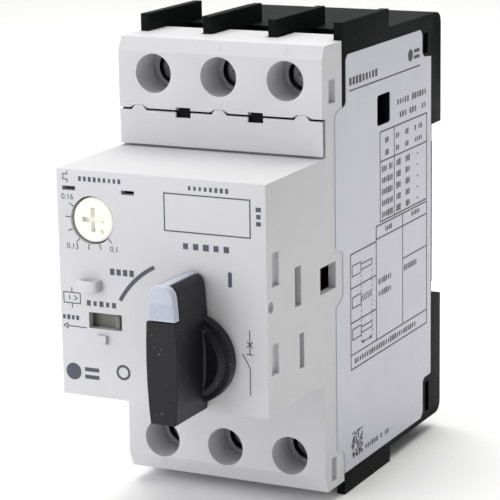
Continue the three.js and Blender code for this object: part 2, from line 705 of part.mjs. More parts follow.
// An arc chute: a fibre side plate with splitter plates.
function arcChute(direction) {
  const z = (value) => value * direction;
  const low = Math.min(z(14.4), z(22.6));
  const high = Math.max(z(14.4), z(22.6));
  let body = block([-4.6, -45.2, low], [-3.6, -31, high]);
  for (let plate = 0; plate < 6; plate += 1) {
    const y = -44.6 + plate * 2.4;
    body = join(body, block([-3.8, y, low + 0.5], [4.4, y + 0.9, high - 0.5]));
  }
  return body;
}

// The magnet coil of the short-circuit release: ribbed like its turns, with a bore for the plunger.
function magnetCoil() {
  const y0 = -27;
  const y1 = -12;
  const outer = 5.3;
  const turns = 6;
  const pitch = (y1 - y0 - 2) / turns;
  const points = [
    [2.3, y0],
    [outer, y0],
    [outer, y0 + 1],
  ];
  for (let turn = 0; turn < turns; turn += 1) {
    const start = y0 + 1 + turn * pitch;
    points.push([outer - 1, start + 0.1], [outer - 0.3, start + pitch * 0.5]);
  }
  points.push([outer, y1 - 1], [outer, y1], [2.3, y1], [2.3, y0]);
  const profile = points.map(([r, y]) => new THREE.Vector2(r, y));
  return solid(new THREE.LatheGeometry(profile, 16));
}

// The plunger that knocks the contacts open on a short circuit, with its head in front of the coil.
function plunger() {
  return join(bar(0, 0, 1.9, -31, -14, 16), bar(0, 0, 3, -30, -28.6, 20), bar(0, 0, 0.9, -37, -30.8, 12));
}

// The bimetal strip of the overload release, thin across the pole, on its foot.
function bimetalStrip() {
  return join(block([4.75, -49.2, -28], [5.55, -24, -23]), block([-2, -27.7, -28], [5.55, -24, -23.4]));
}

// A terminal screw with a cross recess in its cheese head, and a plain shank.
function terminalScrew(z) {
  const { headY, headRadius, headHigh, shankRadius, slotHalf, slotReach } = SCREW;
  const head = bar(0, z, headRadius, headY, headY + headHigh, 24);
  const shank = bar(0, z, shankRadius, headY + headHigh - 0.2, SCREW_END_Y, 16);
  const slotFloor = headY + headHigh / 2;
  return cut(
    join(head, shank),
    block([-slotReach, headY - 1, z - slotHalf], [slotReach, slotFloor, z + slotHalf]),
    block([-slotHalf, headY - 1, z - slotReach], [slotHalf, slotFloor, z + slotReach]),
  );
}

// The square clamp plate under the screw head.
function clampPlate(z) {
  const { y, half, thick } = CLAMP;
  const plate = block([-half, y, z - half], [half, y + thick, z + half]);
  return cut(plate, bar(0, z, SCREW.shankRadius + GAP, y - 1, y + 3, 16));
}

// ---- rail latch ----
function railLatch() {
  const { wide, narrow, front, step, back, lip, tail } = LATCH;
  const catchTop = [
    [front + 0.4, -RAIL_RECESS - 0.4],
    [back, -RAIL_RECESS - 0.4],
    [back, -lip],
    [front + 2.2, -lip],
    [front + 0.4, -lip - 1.2],
  ];
  const body = join(
    block([-wide, front, -45.8], [wide, step, -RAIL_RECESS - 0.3]),
    block([-narrow, step - 0.2, tail], [narrow, back, -RAIL_RECESS - 0.3]),
    sideProfile(catchTop, -narrow, narrow),
  );
  return cut(
    body,
    block([-2.4, 0, -42], [2.4, BACK_Y + 1, -28]),
    block([-2.2, 0, -47.6], [2.2, BACK_Y + 1, -46.4]),
  );
}

// ---- assembly ----
const breaker = new THREE.Group();

function place(parent, name, shape, finish) {
  const mesh = new THREE.Mesh(geometryOf(shape), new THREE.MeshStandardMaterial(FINISH[finish]));
  mesh.name = name;
  parent.add(mesh);
  return mesh;
}

place(breaker, "rear_housing", rearHousing(), "blackPlastic");
place(breaker, "front_housing", frontHousing(), "palePlastic");
place(breaker, "side_label", sideLabel(), "labelFilm");
place(breaker, "slot_cover", slotCover(), "palePlastic");
place(breaker, "accessory_socket", accessorySocket(), "blackPlastic");

const handle = new THREE.Group();
handle.position.set(KNOB.x, 0, KNOB.z);
place(handle, "knob", knob(), "knobPlastic");
place(handle, "knob_lock_tab", lockTab(), "tabPlastic");
place(handle, "knob_shaft", knobShaft(), "zincSteel");
breaker.add(handle);

const dial = new THREE.Group();
dial.position.set(DIAL.x, 0, DIAL.z);
place(dial, "setting_dial", settingDial(), "dialPlastic");
place(dial, "setting_cam", settingCam(), "innerPlastic");
breaker.add(dial);

place(breaker, "test_slider", testSlider(), "sliderPlastic");
place(breaker, "trip_bar", tripBar(), "innerPlastic");
const { spring, left } = testSpring();
const returnSpring = place(breaker, "test_return_spring", spring, "springSteel");
returnSpring.rotation.z = -Math.PI / 2;
returnSpring.position.set(left, SLIDER_ARM_Y + 0.6, TEST_SPRING.z);

place(breaker, "mechanism_frame", mechanismFrame(), "zincSteel");
place(breaker, "contact_carrier", contactCarrier(), "innerPlastic");

POLES.forEach((x, index) => {
  const pole = new THREE.Group();
  const number = index + 1;
  pole.position.x = x;
  place(pole, `contact_bridge_${number}`, contactBridge(), "copper");
  const contactSpring = place(pole, `contact_spring_${number}`, coilSpring(CONTACT_SPRING), "springSteel");
  contactSpring.position.y = BRIDGE_Y - CONTACT_SPRING.length - GAP;
  place(pole, `line_terminal_${number}`, terminalBar(1, SCREW_TOP), "copper");
  place(pole, `load_terminal_${number}`, terminalBar(-1, SCREW_BOTTOM), "copper");
  place(pole, `line_arc_chute_${number}`, arcChute(1), "zincSteel");
  place(pole, `load_arc_chute_${number}`, arcChute(-1), "zincSteel");
  place(pole, `magnet_coil_${number}`, magnetCoil(), "copper");
  place(pole, `magnet_plunger_${number}`, plunger(), "zincSteel");
  place(pole, `bimetal_strip_${number}`, bimetalStrip(), "brass");
  place(pole, `line_screw_${number}`, terminalScrew(SCREW_TOP), "zincSteel");
  place(pole, `line_clamp_${number}`, clampPlate(SCREW_TOP), "zincSteel");
  place(pole, `load_screw_${number}`, terminalScrew(SCREW_BOTTOM), "zincSteel");
  place(pole, `load_clamp_${number}`, clampPlate(SCREW_BOTTOM), "zincSteel");
  breaker.add(pole);
});

place(breaker, "rail_latch", railLatch(), "blackPlastic");
const latchSpring = place(breaker, "rail_latch_spring", coilSpring(LATCH_SPRING), "springSteel");
latchSpring.rotation.x = Math.PI / 2;
latchSpring.position.set(0, 2.9, -38.2);

export default breaker;
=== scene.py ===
import json
import math

import bmesh
import bpy
from mathutils import Matrix, Vector


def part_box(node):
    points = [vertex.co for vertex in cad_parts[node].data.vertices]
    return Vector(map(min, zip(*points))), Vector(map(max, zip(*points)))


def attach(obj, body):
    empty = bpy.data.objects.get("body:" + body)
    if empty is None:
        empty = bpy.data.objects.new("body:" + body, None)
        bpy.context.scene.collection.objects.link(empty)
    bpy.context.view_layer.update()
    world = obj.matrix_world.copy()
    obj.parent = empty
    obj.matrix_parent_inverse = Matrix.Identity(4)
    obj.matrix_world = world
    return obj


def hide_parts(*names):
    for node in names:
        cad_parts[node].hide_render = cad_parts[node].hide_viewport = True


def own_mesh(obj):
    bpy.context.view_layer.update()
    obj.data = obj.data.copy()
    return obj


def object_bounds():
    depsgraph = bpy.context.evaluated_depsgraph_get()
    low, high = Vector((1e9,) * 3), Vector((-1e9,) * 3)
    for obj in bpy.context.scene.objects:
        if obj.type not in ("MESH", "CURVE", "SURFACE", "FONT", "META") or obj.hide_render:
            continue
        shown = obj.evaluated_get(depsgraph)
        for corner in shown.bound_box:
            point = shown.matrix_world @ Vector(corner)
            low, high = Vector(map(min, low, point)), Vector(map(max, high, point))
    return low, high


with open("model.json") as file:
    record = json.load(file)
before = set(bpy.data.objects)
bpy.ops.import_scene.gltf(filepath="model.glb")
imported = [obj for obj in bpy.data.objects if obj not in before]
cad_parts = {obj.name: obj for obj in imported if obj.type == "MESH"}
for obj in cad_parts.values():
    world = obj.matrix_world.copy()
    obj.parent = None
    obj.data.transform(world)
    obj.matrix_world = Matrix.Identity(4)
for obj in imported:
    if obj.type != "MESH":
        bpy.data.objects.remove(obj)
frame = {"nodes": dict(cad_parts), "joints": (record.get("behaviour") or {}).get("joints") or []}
cad_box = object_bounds()
MM = 0.001

# ---- camera, lamps and ground ----
# The breaker stands on its lower fins on a white sheet, seen from its front right and a little from above.
# Wide soft lamps over it and to its left, and a pale sky, light it as in a studio.
YAW = math.radians(26.470)
PITCH = math.radians(13.101)
ROLL = math.radians(-0.951)
CAMERA_PLACE = Vector((0.201476, -0.448758, 0.104139))
ahead = Vector((-math.sin(YAW) * math.cos(PITCH), math.cos(YAW) * math.cos(PITCH), -math.sin(PITCH)))
level = Vector((math.cos(YAW), math.sin(YAW), 0))
upward = level.cross(ahead)
camera_right = level * math.cos(ROLL) + upward * math.sin(ROLL)
camera_up = upward * math.cos(ROLL) - level * math.sin(ROLL)
camera_data = bpy.data.cameras.new("camera")
camera_data.lens = 163.14
camera_data.sensor_width = 36.0
camera = bpy.data.objects.new("camera", camera_data)
camera_turn = Matrix((camera_right, camera_up, -ahead)).transposed()
camera.matrix_world = Matrix.LocRotScale(CAMERA_PLACE, camera_turn.to_quaternion(), None)
bpy.context.scene.collection.objects.link(camera)
bpy.context.scene.camera = camera

LIT_POINT = Vector((0, -0.04, 0))


def add_lamp(name, place, size, watts, tint=(1, 1, 1)):
    data = bpy.data.lights.new(name, "AREA")
    data.shape = "RECTANGLE"
    data.size, data.size_y = size
    data.energy = watts
    data.color = tint
    lamp = bpy.data.objects.new(name, data)
    toward = LIT_POINT - Vector(place)
    lamp.matrix_world = Matrix.LocRotScale(Vector(place), toward.to_track_quat("-Z", "Y"), None)
    bpy.context.scene.collection.objects.link(lamp)


add_lamp("lamp_over", (-0.05, 0.1, 0.8), (0.9, 0.7), 6.6, (1, 1, 0.95))
add_lamp("lamp_left", (-0.55, -0.85, 0.3), (0.8, 0.9), 6.9, (0.98, 0.975, 1))
add_lamp("lamp_right", (0.75, -0.55, 0.25), (0.12, 0.7), 0.3, (0.97, 0.97, 1))
add_lamp("lamp_behind", (-0.35, 1.0, 1.1), (2.4, 1.4), 12)

world = bpy.data.worlds.new("studio")
bpy.context.scene.world = world
world.use_nodes = True
sky = world.node_tree.nodes["Background"]
sky.inputs["Color"].default_value = (1, 1, 1, 1)
sky.inputs["Strength"].default_value = 0.28
bpy.context.scene.view_settings.view_transform = "Standard"

GROUND_HALF = 4.0
ground_z = cad_box[0][2]
ground_mesh = bpy.data.meshes.new("ground")
ground_turns = ((-1, -1), (1, -1), (1, 1), (-1, 1))
ground_corners = [(x * GROUND_HALF, y * GROUND_HALF, ground_z) for x, y in ground_turns]
ground_mesh.from_pydata(ground_corners, [], [(0, 1, 2, 3)])
ground = bpy.data.objects.new("ground", ground_mesh)
bpy.context.scene.collection.objects.link(ground)
paper = bpy.data.materials.new("white_sheet")
paper.use_nodes = True
paper_surface = paper.node_tree.nodes["Principled BSDF"]
paper_surface.inputs["Base Color"].default_value = (0.95, 0.95, 0.95, 1)
paper_surface.inputs["Roughness"].default_value = 0.9
ground_mesh.materials.append(paper)


# ---- black rear casing ----
# The rear half, moulded in black glass-filled polyamide: pole chambers, the fins that part the wires, and
# the recess for the rail. Its edges are softened as the mould leaves them.

# how many cells of each noise lie in a metre of plastic
CLOUDS, GLOSS, SPECKS, GRAIN = 90, 260, 1500, 5200


def noise_on(material, scale, detail, stretch=(1, 1, 1), roughness=0.5):
    """A noise that is fixed to the piece, from 0 to 1."""
    nodes, links = material.node_tree.nodes, material.node_tree.links
    place = nodes.new("ShaderNodeTexCoord")
    turn = nodes.new("ShaderNodeMapping")
    turn.inputs["Scale"].default_value = stretch
    texture = nodes.new("ShaderNodeTexNoise")
    texture.inputs["Scale"].default_value = scale
    texture.inputs["Detail"].default_value = detail
    texture.inputs["Roughness"].default_value = roughness
    links.new(place.outputs["Object"], turn.inputs["Vector"])
    links.new(turn.outputs["Vector"], texture.inputs["Vector"])
    return texture.outputs["Fac"]


def ramp_on(material, source, stops):
    """Colours for the values of a source; each stop is a value and a colour."""
    ramp = material.node_tree.nodes.new("ShaderNodeValToRGB")
    for element, (place, color) in zip(ramp.color_ramp.elements, stops):
        element.position = place
        element.color = (*color, 1)
    material.node_tree.links.new(source, ramp.inputs["Fac"])
    return ramp.outputs["Color"]


def rough_and_grained(material, rough, spread, grain_source, depth, gloss_source):
    """Gives a surface uneven gloss around one roughness, and a grain of the given depth."""
    nodes, links = material.node_tree.nodes, material.node_tree.links
    surface = nodes["Principled BSDF"]
    gloss = nodes.new("ShaderNodeMapRange")
    gloss.inputs["To Min"].default_value = rough - spread
    gloss.inputs["To Max"].default_value = rough + spread
    links.new(gloss_source, gloss.inputs["Value"])
    links.new(gloss.outputs["Result"], surface.inputs["Roughness"])
    bump = nodes.new("ShaderNodeBump")
    bump.inputs["Strength"].default_value = 0.6
    bump.inputs["Distance"].default_value = depth
    links.new(grain_source, bump.inputs["Height"])
    links.new(bump.outputs["Normal"], surface.inputs["Normal"])


def moulded_plastic(name, color, rough, depth=0.000012, mottle=0.03, dust=0.0, ior=1.5):
    """Satin moulded plastic: a fine grain, faint clouds in the colour, uneven gloss, and specks of dust."""
    material = bpy.data.materials.new(name)
    material.use_nodes = True
    nodes, links = material.node_tree.nodes, material.node_tree.links
    surface = nodes["Principled BSDF"]
    surface.inputs["IOR"].default_value = ior
    dark = [c * (1 - mottle) for c in color]
    light = [min(1, c * (1 + mottle)) for c in color]
    body = ramp_on(material, noise_on(material, CLOUDS, 4), ((0.3, dark), (0.7, light)))
    if dust:
        specks = ramp_on(material, noise_on(material, SPECKS, 1), ((0.74, (0, 0, 0)), (0.80, (1, 1, 1))))
        mix = nodes.new("ShaderNodeMix")
        mix.data_type = "RGBA"
        mix.inputs["B"].default_value = (dust, dust, dust, 1)
        links.new(specks, mix.inputs["Factor"])
        links.new(body, mix.inputs["A"])
        body = mix.outputs["Result"]
    links.new(body, surface.inputs["Base Color"])
    grain = noise_on(material, GRAIN, 3, roughness=0.65)
    gloss = noise_on(material, GLOSS, 5, roughness=0.6)
    rough_and_grained(material, rough, 0.06, grain, depth, gloss)
    return material


def add_piece(name, mesh, body, slot, material, *nodes):
    """Puts a finished mesh on its body, in place of the casting or moulding that it stands for."""
    piece = bpy.data.objects.new(name, mesh)
    bpy.context.scene.collection.objects.link(piece)
    mesh.materials.clear()
    mesh.materials.append(material)
    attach(piece, body)
    if nodes:
        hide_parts(*nodes)
    return piece


SHARP_ANGLE = math.radians(30)
SMOOTH_ANGLE = math.radians(28)
TOUCHING = 0.01 * MM


def bevel(shape, edges, radius, steps):
    """Rounds the edges off and returns the new faces."""
    return bmesh.ops.bevel(
        shape, geom=edges, offset=radius, offset_type="OFFSET", segments=steps, profile=0.5, affect="EDGES",
        clamp_overlap=True,
    )["faces"]


def soften(node, radius, big_radius=0, is_big=None, big_steps=4):
    """A copy of a part as one clean skin: long outer edges get the big radius, the others the small one."""
    shape = bmesh.new()
    shape.from_mesh(frame["nodes"][node].data)
    bmesh.ops.remove_doubles(shape, verts=shape.verts, dist=0.002 * MM)
    bmesh.ops.dissolve_limit(shape, angle_limit=math.radians(1), verts=shape.verts, edges=shape.edges)

    def is_sharp(edge):
        return len(edge.link_faces) == 2 and edge.calc_face_angle(0) > SHARP_ANGLE

    if big_radius:
        bevel(shape, [edge for edge in shape.edges if is_sharp(edge) and is_big(edge)], big_radius, big_steps)
    rounded_faces = set(bevel(shape, [edge for edge in shape.edges if is_sharp(edge)], radius, 2))
    for face in shape.faces:
        face.smooth = True
    for edge in shape.edges:
        borders = len({face in rounded_faces for face in edge.link_faces}) == 2
        edge.smooth = not borders and edge.calc_face_angle(0) < SMOOTH_ANGLE
    bmesh.ops.triangulate(shape, faces=[face for face in shape.faces if len(face.verts) > 4])
    mesh = bpy.data.meshes.new(node + "_skin")
    shape.to_mesh(mesh)
    shape.free()
    return mesh


rear_low, rear_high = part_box("rear_housing")
SHORTEST_SIDE_EDGE = 4 * MM


def on_rear_outside(edge):
    """The long edges round both sides of the black casing."""
    ends = [vertex.co for vertex in edge.verts]
    along_side = all(min(abs(p.x - rear_low.x), abs(p.x - rear_high.x)) < TOUCHING for p in ends)
    return along_side and (ends[0] - ends[1]).length > SHORTEST_SIDE_EDGE


BLACK = (0.006, 0.007, 0.0075)
black_plastic = moulded_plastic("black_polyamide", BLACK, 0.5, depth=0.00002, dust=0.05, ior=1.12)
rear_skin = soften("rear_housing", 0.14 * MM, 0.45 * MM, on_rear_outside)
add_piece("rear_casing", rear_skin, "casing", "black_plastic", black_plastic, "rear_housing")

# ---- rail latch ----
# A black moulded slide in the back, which a spring holds up against the lower edge of the rail. A
# screwdriver in the slot of its tail pulls it down.
latch_skin = soften("rail_latch", 0.16 * MM)
add_piece("latch_slide", latch_skin, "latch", "black_plastic", black_plastic, "rail_latch")


# ---- coil springs ----
# Springs of round drawn wire: the latch's, the test slider's, and one behind each contact bridge. Each is
# wound by one rule from its radius, its length, its number of turns and its wire.
def start_tree(name, sizes, takes_mesh=False):
    """A geometry tree with named inputs; each size is a name, a kind of socket and a value."""
    tree = bpy.data.node_groups.new(name, "GeometryNodeTree")
    face = tree.interface
    if takes_mesh:
        face.new_socket("Geometry", in_out="INPUT", socket_type="NodeSocketGeometry")
    for label, kind, value in sizes:
        face.new_socket(label, in_out="INPUT", socket_type="NodeSocket" + kind).default_value = value
    face.new_socket("Geometry", in_out="OUTPUT", socket_type="NodeSocketGeometry")
    return tree, tree.nodes.new("NodeGroupInput"), tree.nodes.new("NodeGroupOutput")


def end_tree(tree, last, way_out, material):
    """Every tree ends in real geometry with its material set."""
    real = tree.nodes.new("GeometryNodeRealizeInstances")
    finish = tree.nodes.new("GeometryNodeSetMaterial")
    finish.inputs["Material"].default_value = material
    tree.links.new(last, real.inputs["Geometry"])
    tree.links.new(real.outputs["Geometry"], finish.inputs["Geometry"])
    tree.links.new(finish.outputs["Geometry"], way_out.inputs["Geometry"])


def grow(tree, place, start=None, **values):
    """Runs a tree with these values and returns its result as a plain mesh, moved to its place."""
    mesh = start or bpy.data.meshes.new(tree.name + "_seed")
    seed = bpy.data.objects.new(tree.name + "_seed", mesh)
    bpy.context.scene.collection.objects.link(seed)
    modifier = seed.modifiers.new(tree.name, "NODES")
    modifier.node_group = tree
    for socket in tree.interface.items_tree:
        if socket.in_out == "INPUT" and socket.name in values:
            modifier[socket.identifier] = values[socket.name]
    bpy.context.view_layer.update()
    shown = seed.evaluated_get(bpy.context.evaluated_depsgraph_get())
    grown = bpy.data.meshes.new_from_object(shown)
    seed.modifiers.remove(modifier)
    bpy.data.objects.remove(seed)
    grown.transform(place)
    return grown


def worked_out(tree, operation, first, second):
    """The outcome of a sum on two values, each a socket or a plain number."""
    node = tree.nodes.new("ShaderNodeMath")
    node.operation = operation
    for socket, value in zip(node.inputs, (first, second)):
        if isinstance(value, float):
            socket.default_value = value
        else:
            tree.links.new(value, socket)
    return node.outputs[0]


def sweep(tree, line, section):
    """A section swept along a line, with its ends closed."""
    swept = tree.nodes.new("GeometryNodeCurveToMesh")
    swept.inputs["Fill Caps"].default_value = True
    tree.links.new(line.outputs["Curve"], swept.inputs["Curve"])
    tree.links.new(section.outputs["Curve"], swept.inputs["Profile Curve"])
    return swept.outputs["Mesh"]


def helix(tree, way_in, resolution, rotations):
    """A spiral of even radius, with its radius and its length from the tree's inputs."""
    spiral = tree.nodes.new("GeometryNodeCurveSpiral")
    spiral.inputs["Resolution"].default_value = resolution
    for label, socket in (("Radius", "Start Radius"), ("Radius", "End Radius"), ("Length", "Height")):
        tree.links.new(way_in.outputs[label], spiral.inputs[socket])
    tree.links.new(rotations, spiral.inputs["Rotations"])
    return spiral


def ring(tree, resolution, radius):
    """A circle, the section that a wire or a ridge is swept with."""
    circle = tree.nodes.new("GeometryNodeCurvePrimitiveCircle")
    circle.inputs["Resolution"].default_value = resolution
    tree.links.new(radius, circle.inputs["Radius"])
    return circle


def drawn_metal(name, color, rough, stretch=(1, 1, 1), scale=420):
    """Bare or plated metal: fine drawing lines in the gloss, and a faint stain in the colour."""
    material = bpy.data.materials.new(name)
    material.use_nodes = True
    surface = material.node_tree.nodes["Principled BSDF"]
    surface.inputs["Metallic"].default_value = 1.0
    dark = [c * 0.82 for c in color]
    tone = ramp_on(material, noise_on(material, 160, 5), ((0.3, dark), (0.7, color)))
    material.node_tree.links.new(tone, surface.inputs["Base Color"])
    lines = noise_on(material, scale, 4, stretch, 0.6)
    rough_and_grained(material, rough, 0.09, lines, 0.000008, lines)
    return material


SPRING_WIRE = 0.5 * MM
# the wire is drawn a little thinner than the solid that it stands for, to clear what it touches
WIRE_SHARE = 0.40
spring_steel = drawn_metal("drawn_spring_steel", (0.42, 0.43, 0.45), 0.30, (6, 1, 6))
coil_tree, coil_in, coil_out = start_tree("wound_wire", (
    ("Radius", "Float", 1.3 * MM), ("Length", "Float", 10 * MM), ("Turns", "Float", 6.0),
    ("Wire", "Float", SPRING_WIRE),
))
coil_line = helix(coil_tree, coil_in, 20, coil_in.outputs["Turns"])
wire_section = ring(coil_tree, 10, worked_out(coil_tree, "MULTIPLY", coil_in.outputs["Wire"], WIRE_SHARE))
end_tree(coil_tree, sweep(coil_tree, coil_line, wire_section), coil_out, spring_steel)


def wind_spring(node, axis, turns):
    """A spring that fills the box of its node, along axis 0, 1 or 2."""
    low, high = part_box(node)
    across = 1 if axis == 0 else 0
    radius = (high[across] - low[across] - SPRING_WIRE) / 2
    length = high[axis] - low[axis] - SPRING_WIRE
    foot = (low + high) / 2
    foot[axis] = low[axis] + SPRING_WIRE / 2
    direction = Vector([1.0 if i == axis else 0.0 for i in range(3)])
    place = Matrix.Translation(foot) @ direction.to_track_quat("Z", "Y").to_matrix().to_4x4()
    mesh = grow(coil_tree, place, Radius=radius, Length=length, Turns=float(turns), Wire=SPRING_WIRE)
    mesh.shade_smooth()
    return mesh


def add_pushed_spring(name, node, axis):
    """A spring between the casing and a moving piece, wound to fill its node's box and set on the casing."""
    spring = add_piece(name, wind_spring(node, axis, 6), "casing", "spring_steel", spring_steel, node)
    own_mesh(spring)


joints = {joint["name"]: joint for joint in frame["joints"]}
add_pushed_spring("latch_spring", "rail_latch_spring", 2)
add_pushed_spring("slider_spring", "test_return_spring", 0)

POLE_NUMBERS = (1, 2, 3)
for number in POLE_NUMBERS:
    node = f"contact_spring_{number}"
    contact_mesh = wind_spring(node, 1, 5)
    add_piece(f"contact_coil_{number}", contact_mesh, "carrier", "spring_steel", spring_steel, node)

# ---- current path and releases inside ----
# Pressed copper terminal bars and contact bridges, brass-coloured bimetal strips, zinc-plated splitter
# plates, frame and plungers, and dark thermoset carriers. They keep the shape that the design gives them.
copper = drawn_metal("bare_copper", (0.72, 0.38, 0.22), 0.32, (1, 1, 8))
brass = drawn_metal("bimetal_brass", (0.68, 0.53, 0.27), 0.34, (1, 8, 1))
zinc_steel = drawn_metal("zinc_plated_steel", (0.66, 0.67, 0.69), 0.30, (5, 1, 5))
thermoset = moulded_plastic("dark_thermoset", (0.055, 0.045, 0.036), 0.55, depth=0.00003, mottle=0.12)

inner_finish = {
    copper: ["contact_bridge", "line_terminal", "load_terminal", "magnet_coil"],
    brass: ["bimetal_strip"],
    zinc_steel: ["line_arc_chute", "load_arc_chute", "magnet_plunger", "line_clamp", "load_clamp"],
}
finish_of_node = {"knob_shaft": zinc_steel, "mechanism_frame": zinc_steel, "setting_cam": thermoset,
                  "trip_bar": thermoset, "contact_carrier": thermoset}
for material, stems in inner_finish.items():
    for stem in stems:
        for number in POLE_NUMBERS:
            finish_of_node[f"{stem}_{number}"] = material


def finish_node(node, material):
    """Gives a part that keeps its own shape its material."""
    frame["nodes"][node].data.materials.clear()
    frame["nodes"][node].data.materials.append(material)


for node, material in finish_of_node.items():
    finish_node(node, material)

# ---- terminal screws ----
# Six zinc-plated steel screws with rounded cheese heads and a cross recess, driven from the front. The
# thread is wound on each shank.
RIDGE_SHARE = 0.4  # size of the ridge over the pitch
thread_tree, thread_in, thread_out = start_tree("screw_thread", (
    ("Radius", "Float", 1.9 * MM), ("Length", "Float", 12 * MM), ("Pitch", "Float", 0.7 * MM),
), takes_mesh=True)
thread_turns = worked_out(thread_tree, "DIVIDE", thread_in.outputs["Length"], thread_in.outputs["Pitch"])
thread_line = helix(thread_tree, thread_in, 16, thread_turns)
ridge = ring(thread_tree, 4, worked_out(thread_tree, "MULTIPLY", thread_in.outputs["Pitch"], RIDGE_SHARE))
screw_join = thread_tree.nodes.new("GeometryNodeJoinGeometry")
thread_tree.links.new(sweep(thread_tree, thread_line, ridge), screw_join.inputs["Geometry"])
thread_tree.links.new(thread_in.outputs["Geometry"], screw_join.inputs["Geometry"])
end_tree(thread_tree, screw_join.outputs["Geometry"], thread_out, zinc_steel)


def lathe(outline, sides=48):
    """A solid turned about Z from an outline of radius and height; a ring's outline ends where it starts."""
    shape = bmesh.new()
    rings = []
    for radius, height in outline:
        if radius == 0:
            rings.append([shape.verts.new((0, 0, height))] * sides)
            continue
        angles = (2 * math.pi * step / sides for step in range(sides))
        rings.append([shape.verts.new((radius * math.cos(a), radius * math.sin(a), height)) for a in angles])
    if outline[0] == outline[-1]:
        bmesh.ops.delete(shape, geom=rings[-1], context="VERTS")
        rings[-1] = rings[0]
    for lower, upper in zip(rings, rings[1:]):
        for step in range(sides):
            following = (step + 1) % sides
            corners = [lower[step], lower[following], upper[following], upper[step]]
            shape.faces.new(list(dict.fromkeys(corners)))
    bmesh.ops.recalc_face_normals(shape, faces=shape.faces)
    mesh = bpy.data.meshes.new("turned")
    shape.to_mesh(mesh)
    shape.free()
    return mesh


def facing_front(outline, x, z, sides=48, smooth=SMOOTH_ANGLE):
    """A turned piece with its axis forwards at x and z; its outline's heights count forwards from y = 0."""
    mesh = lathe(outline, sides)
    mesh.transform(Matrix.Translation((x, 0, z)) @ Matrix.Rotation(math.pi / 2, 4, "X"))
    mesh.shade_smooth()
    mesh.set_sharp_from_angle(angle=smooth)
    return mesh


def rounded(radius, height, fillet, steps=5):
    """The points of a quarter round from the side of a disc at the given radius to its flat end."""
    arc = (math.pi / 2 * step / steps for step in range(steps + 1))
    return [(radius - fillet + fillet * math.cos(a), height - fillet + fillet * math.sin(a)) for a in arc]


def box_mesh(low, high):
    shape = bmesh.new()
    bmesh.ops.create_cube(shape, size=1)
    size = Vector(high) - Vector(low)
    place = Matrix.LocRotScale((Vector(low) + Vector(high)) / 2, None, size)
    bmesh.ops.transform(shape, matrix=place, verts=shape.verts)
    mesh = bpy.data.meshes.new("cutter")
    shape.to_mesh(mesh)
    shape.free()
    return mesh


def carve(mesh, cutters):
    """Cuts closed meshes out of a mesh."""
    body = bpy.data.objects.new("carved", mesh)
    bpy.context.scene.collection.objects.link(body)
    tools = []
    for cutter in cutters:
        tool = bpy.data.objects.new("cutter", cutter)
        bpy.context.scene.collection.objects.link(tool)
        tools.append(tool)
        modifier = body.modifiers.new("cut", "BOOLEAN")
        modifier.operation = "DIFFERENCE"
        modifier.solver = "EXACT"
        modifier.object = tool
    bpy.context.view_layer.update()
    carved = bpy.data.meshes.new_from_object(body.evaluated_get(bpy.context.evaluated_depsgraph_get()))
    for helper in (body, *tools):
        bpy.data.objects.remove(helper)
    return carved


HEAD_RADIUS = 3.2 * MM
HEAD_HEIGHT = 3.0 * MM
HEAD_ROUNDING = 0.55 * MM
SHANK_RADIUS = 1.55 * MM
PLAIN_NECK = 1 * MM  # length under the head that has no thread
RECESS = {"arm": 1.9 * MM, "half": 0.42 * MM, "deep": 1.5 * MM, "centre": 1.0 * MM}
PAST_END = 1 * MM  # how far a cutter stands out of what it cuts


def add_screw(name, body, node):
    low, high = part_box(node)
    length = high.y - low.y
    shank = length - HEAD_HEIGHT
    outline = [(0, 0), (SHANK_RADIUS, 0), (SHANK_RADIUS, shank), (HEAD_RADIUS, shank)]
    outline += rounded(HEAD_RADIUS, length, HEAD_ROUNDING) + [(0, length)]
    top = length + PAST_END
    floor = length - RECESS["deep"]
    arm, half = RECESS["arm"], RECESS["half"]
    cross = [box_mesh((-a, -b, floor), (a, b, top)) for a, b in ((arm, half), (half, arm))]
    centre = lathe([(0, floor), (RECESS["centre"], floor), (RECESS["centre"], top), (0, top)], 16)
    head = carve(lathe(outline), cross + [centre])
    foot = Vector(((low.x + high.x) / 2, high.y, (low.z + high.z) / 2))
    place = Matrix.Translation(foot) @ Matrix.Rotation(math.pi / 2, 4, "X")
    mesh = grow(thread_tree, place, start=head, Radius=SHANK_RADIUS, Length=shank - PLAIN_NECK)
    mesh.shade_smooth()
    mesh.set_sharp_from_angle(angle=math.radians(35))
    add_piece(name, mesh, body, "zinc_steel", zinc_steel, node)


for number in POLE_NUMBERS:
    for side in ("line", "load"):
        add_screw(f"{side}_terminal_screw_{number}", f"{side}_clamping_{number}", f"{side}_screw_{number}")

# ---- pale front casing ----
# The front half, moulded in pale grey thermoplastic: the front block, both terminal blocks with their
# screw tubes, and the roofs over the wire entries. It snaps on to the black half.
front_low, front_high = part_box("front_housing")
handle_axis = Vector(joints["handle_turn"]["pos_m"])
FRONT_PLATE_Y = handle_axis.y  # the handle's joint lies in the face of the front plate
TERMINAL_FRONT_Y = -56.9 * MM
OUTER_EDGES_AHEAD_OF_Y = -48 * MM
ACCESS_RADIUS = 3.96 * MM
SHORTEST_LONG_EDGE = 12 * MM
ACROSS_THE_FRONT = 40 * MM
screw_axes = {}
for number in POLE_NUMBERS:
    for side in ("line", "load"):
        low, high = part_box(f"{side}_screw_{number}")
        screw_axes[side, number] = ((low.x + high.x) / 2, (low.z + high.z) / 2)


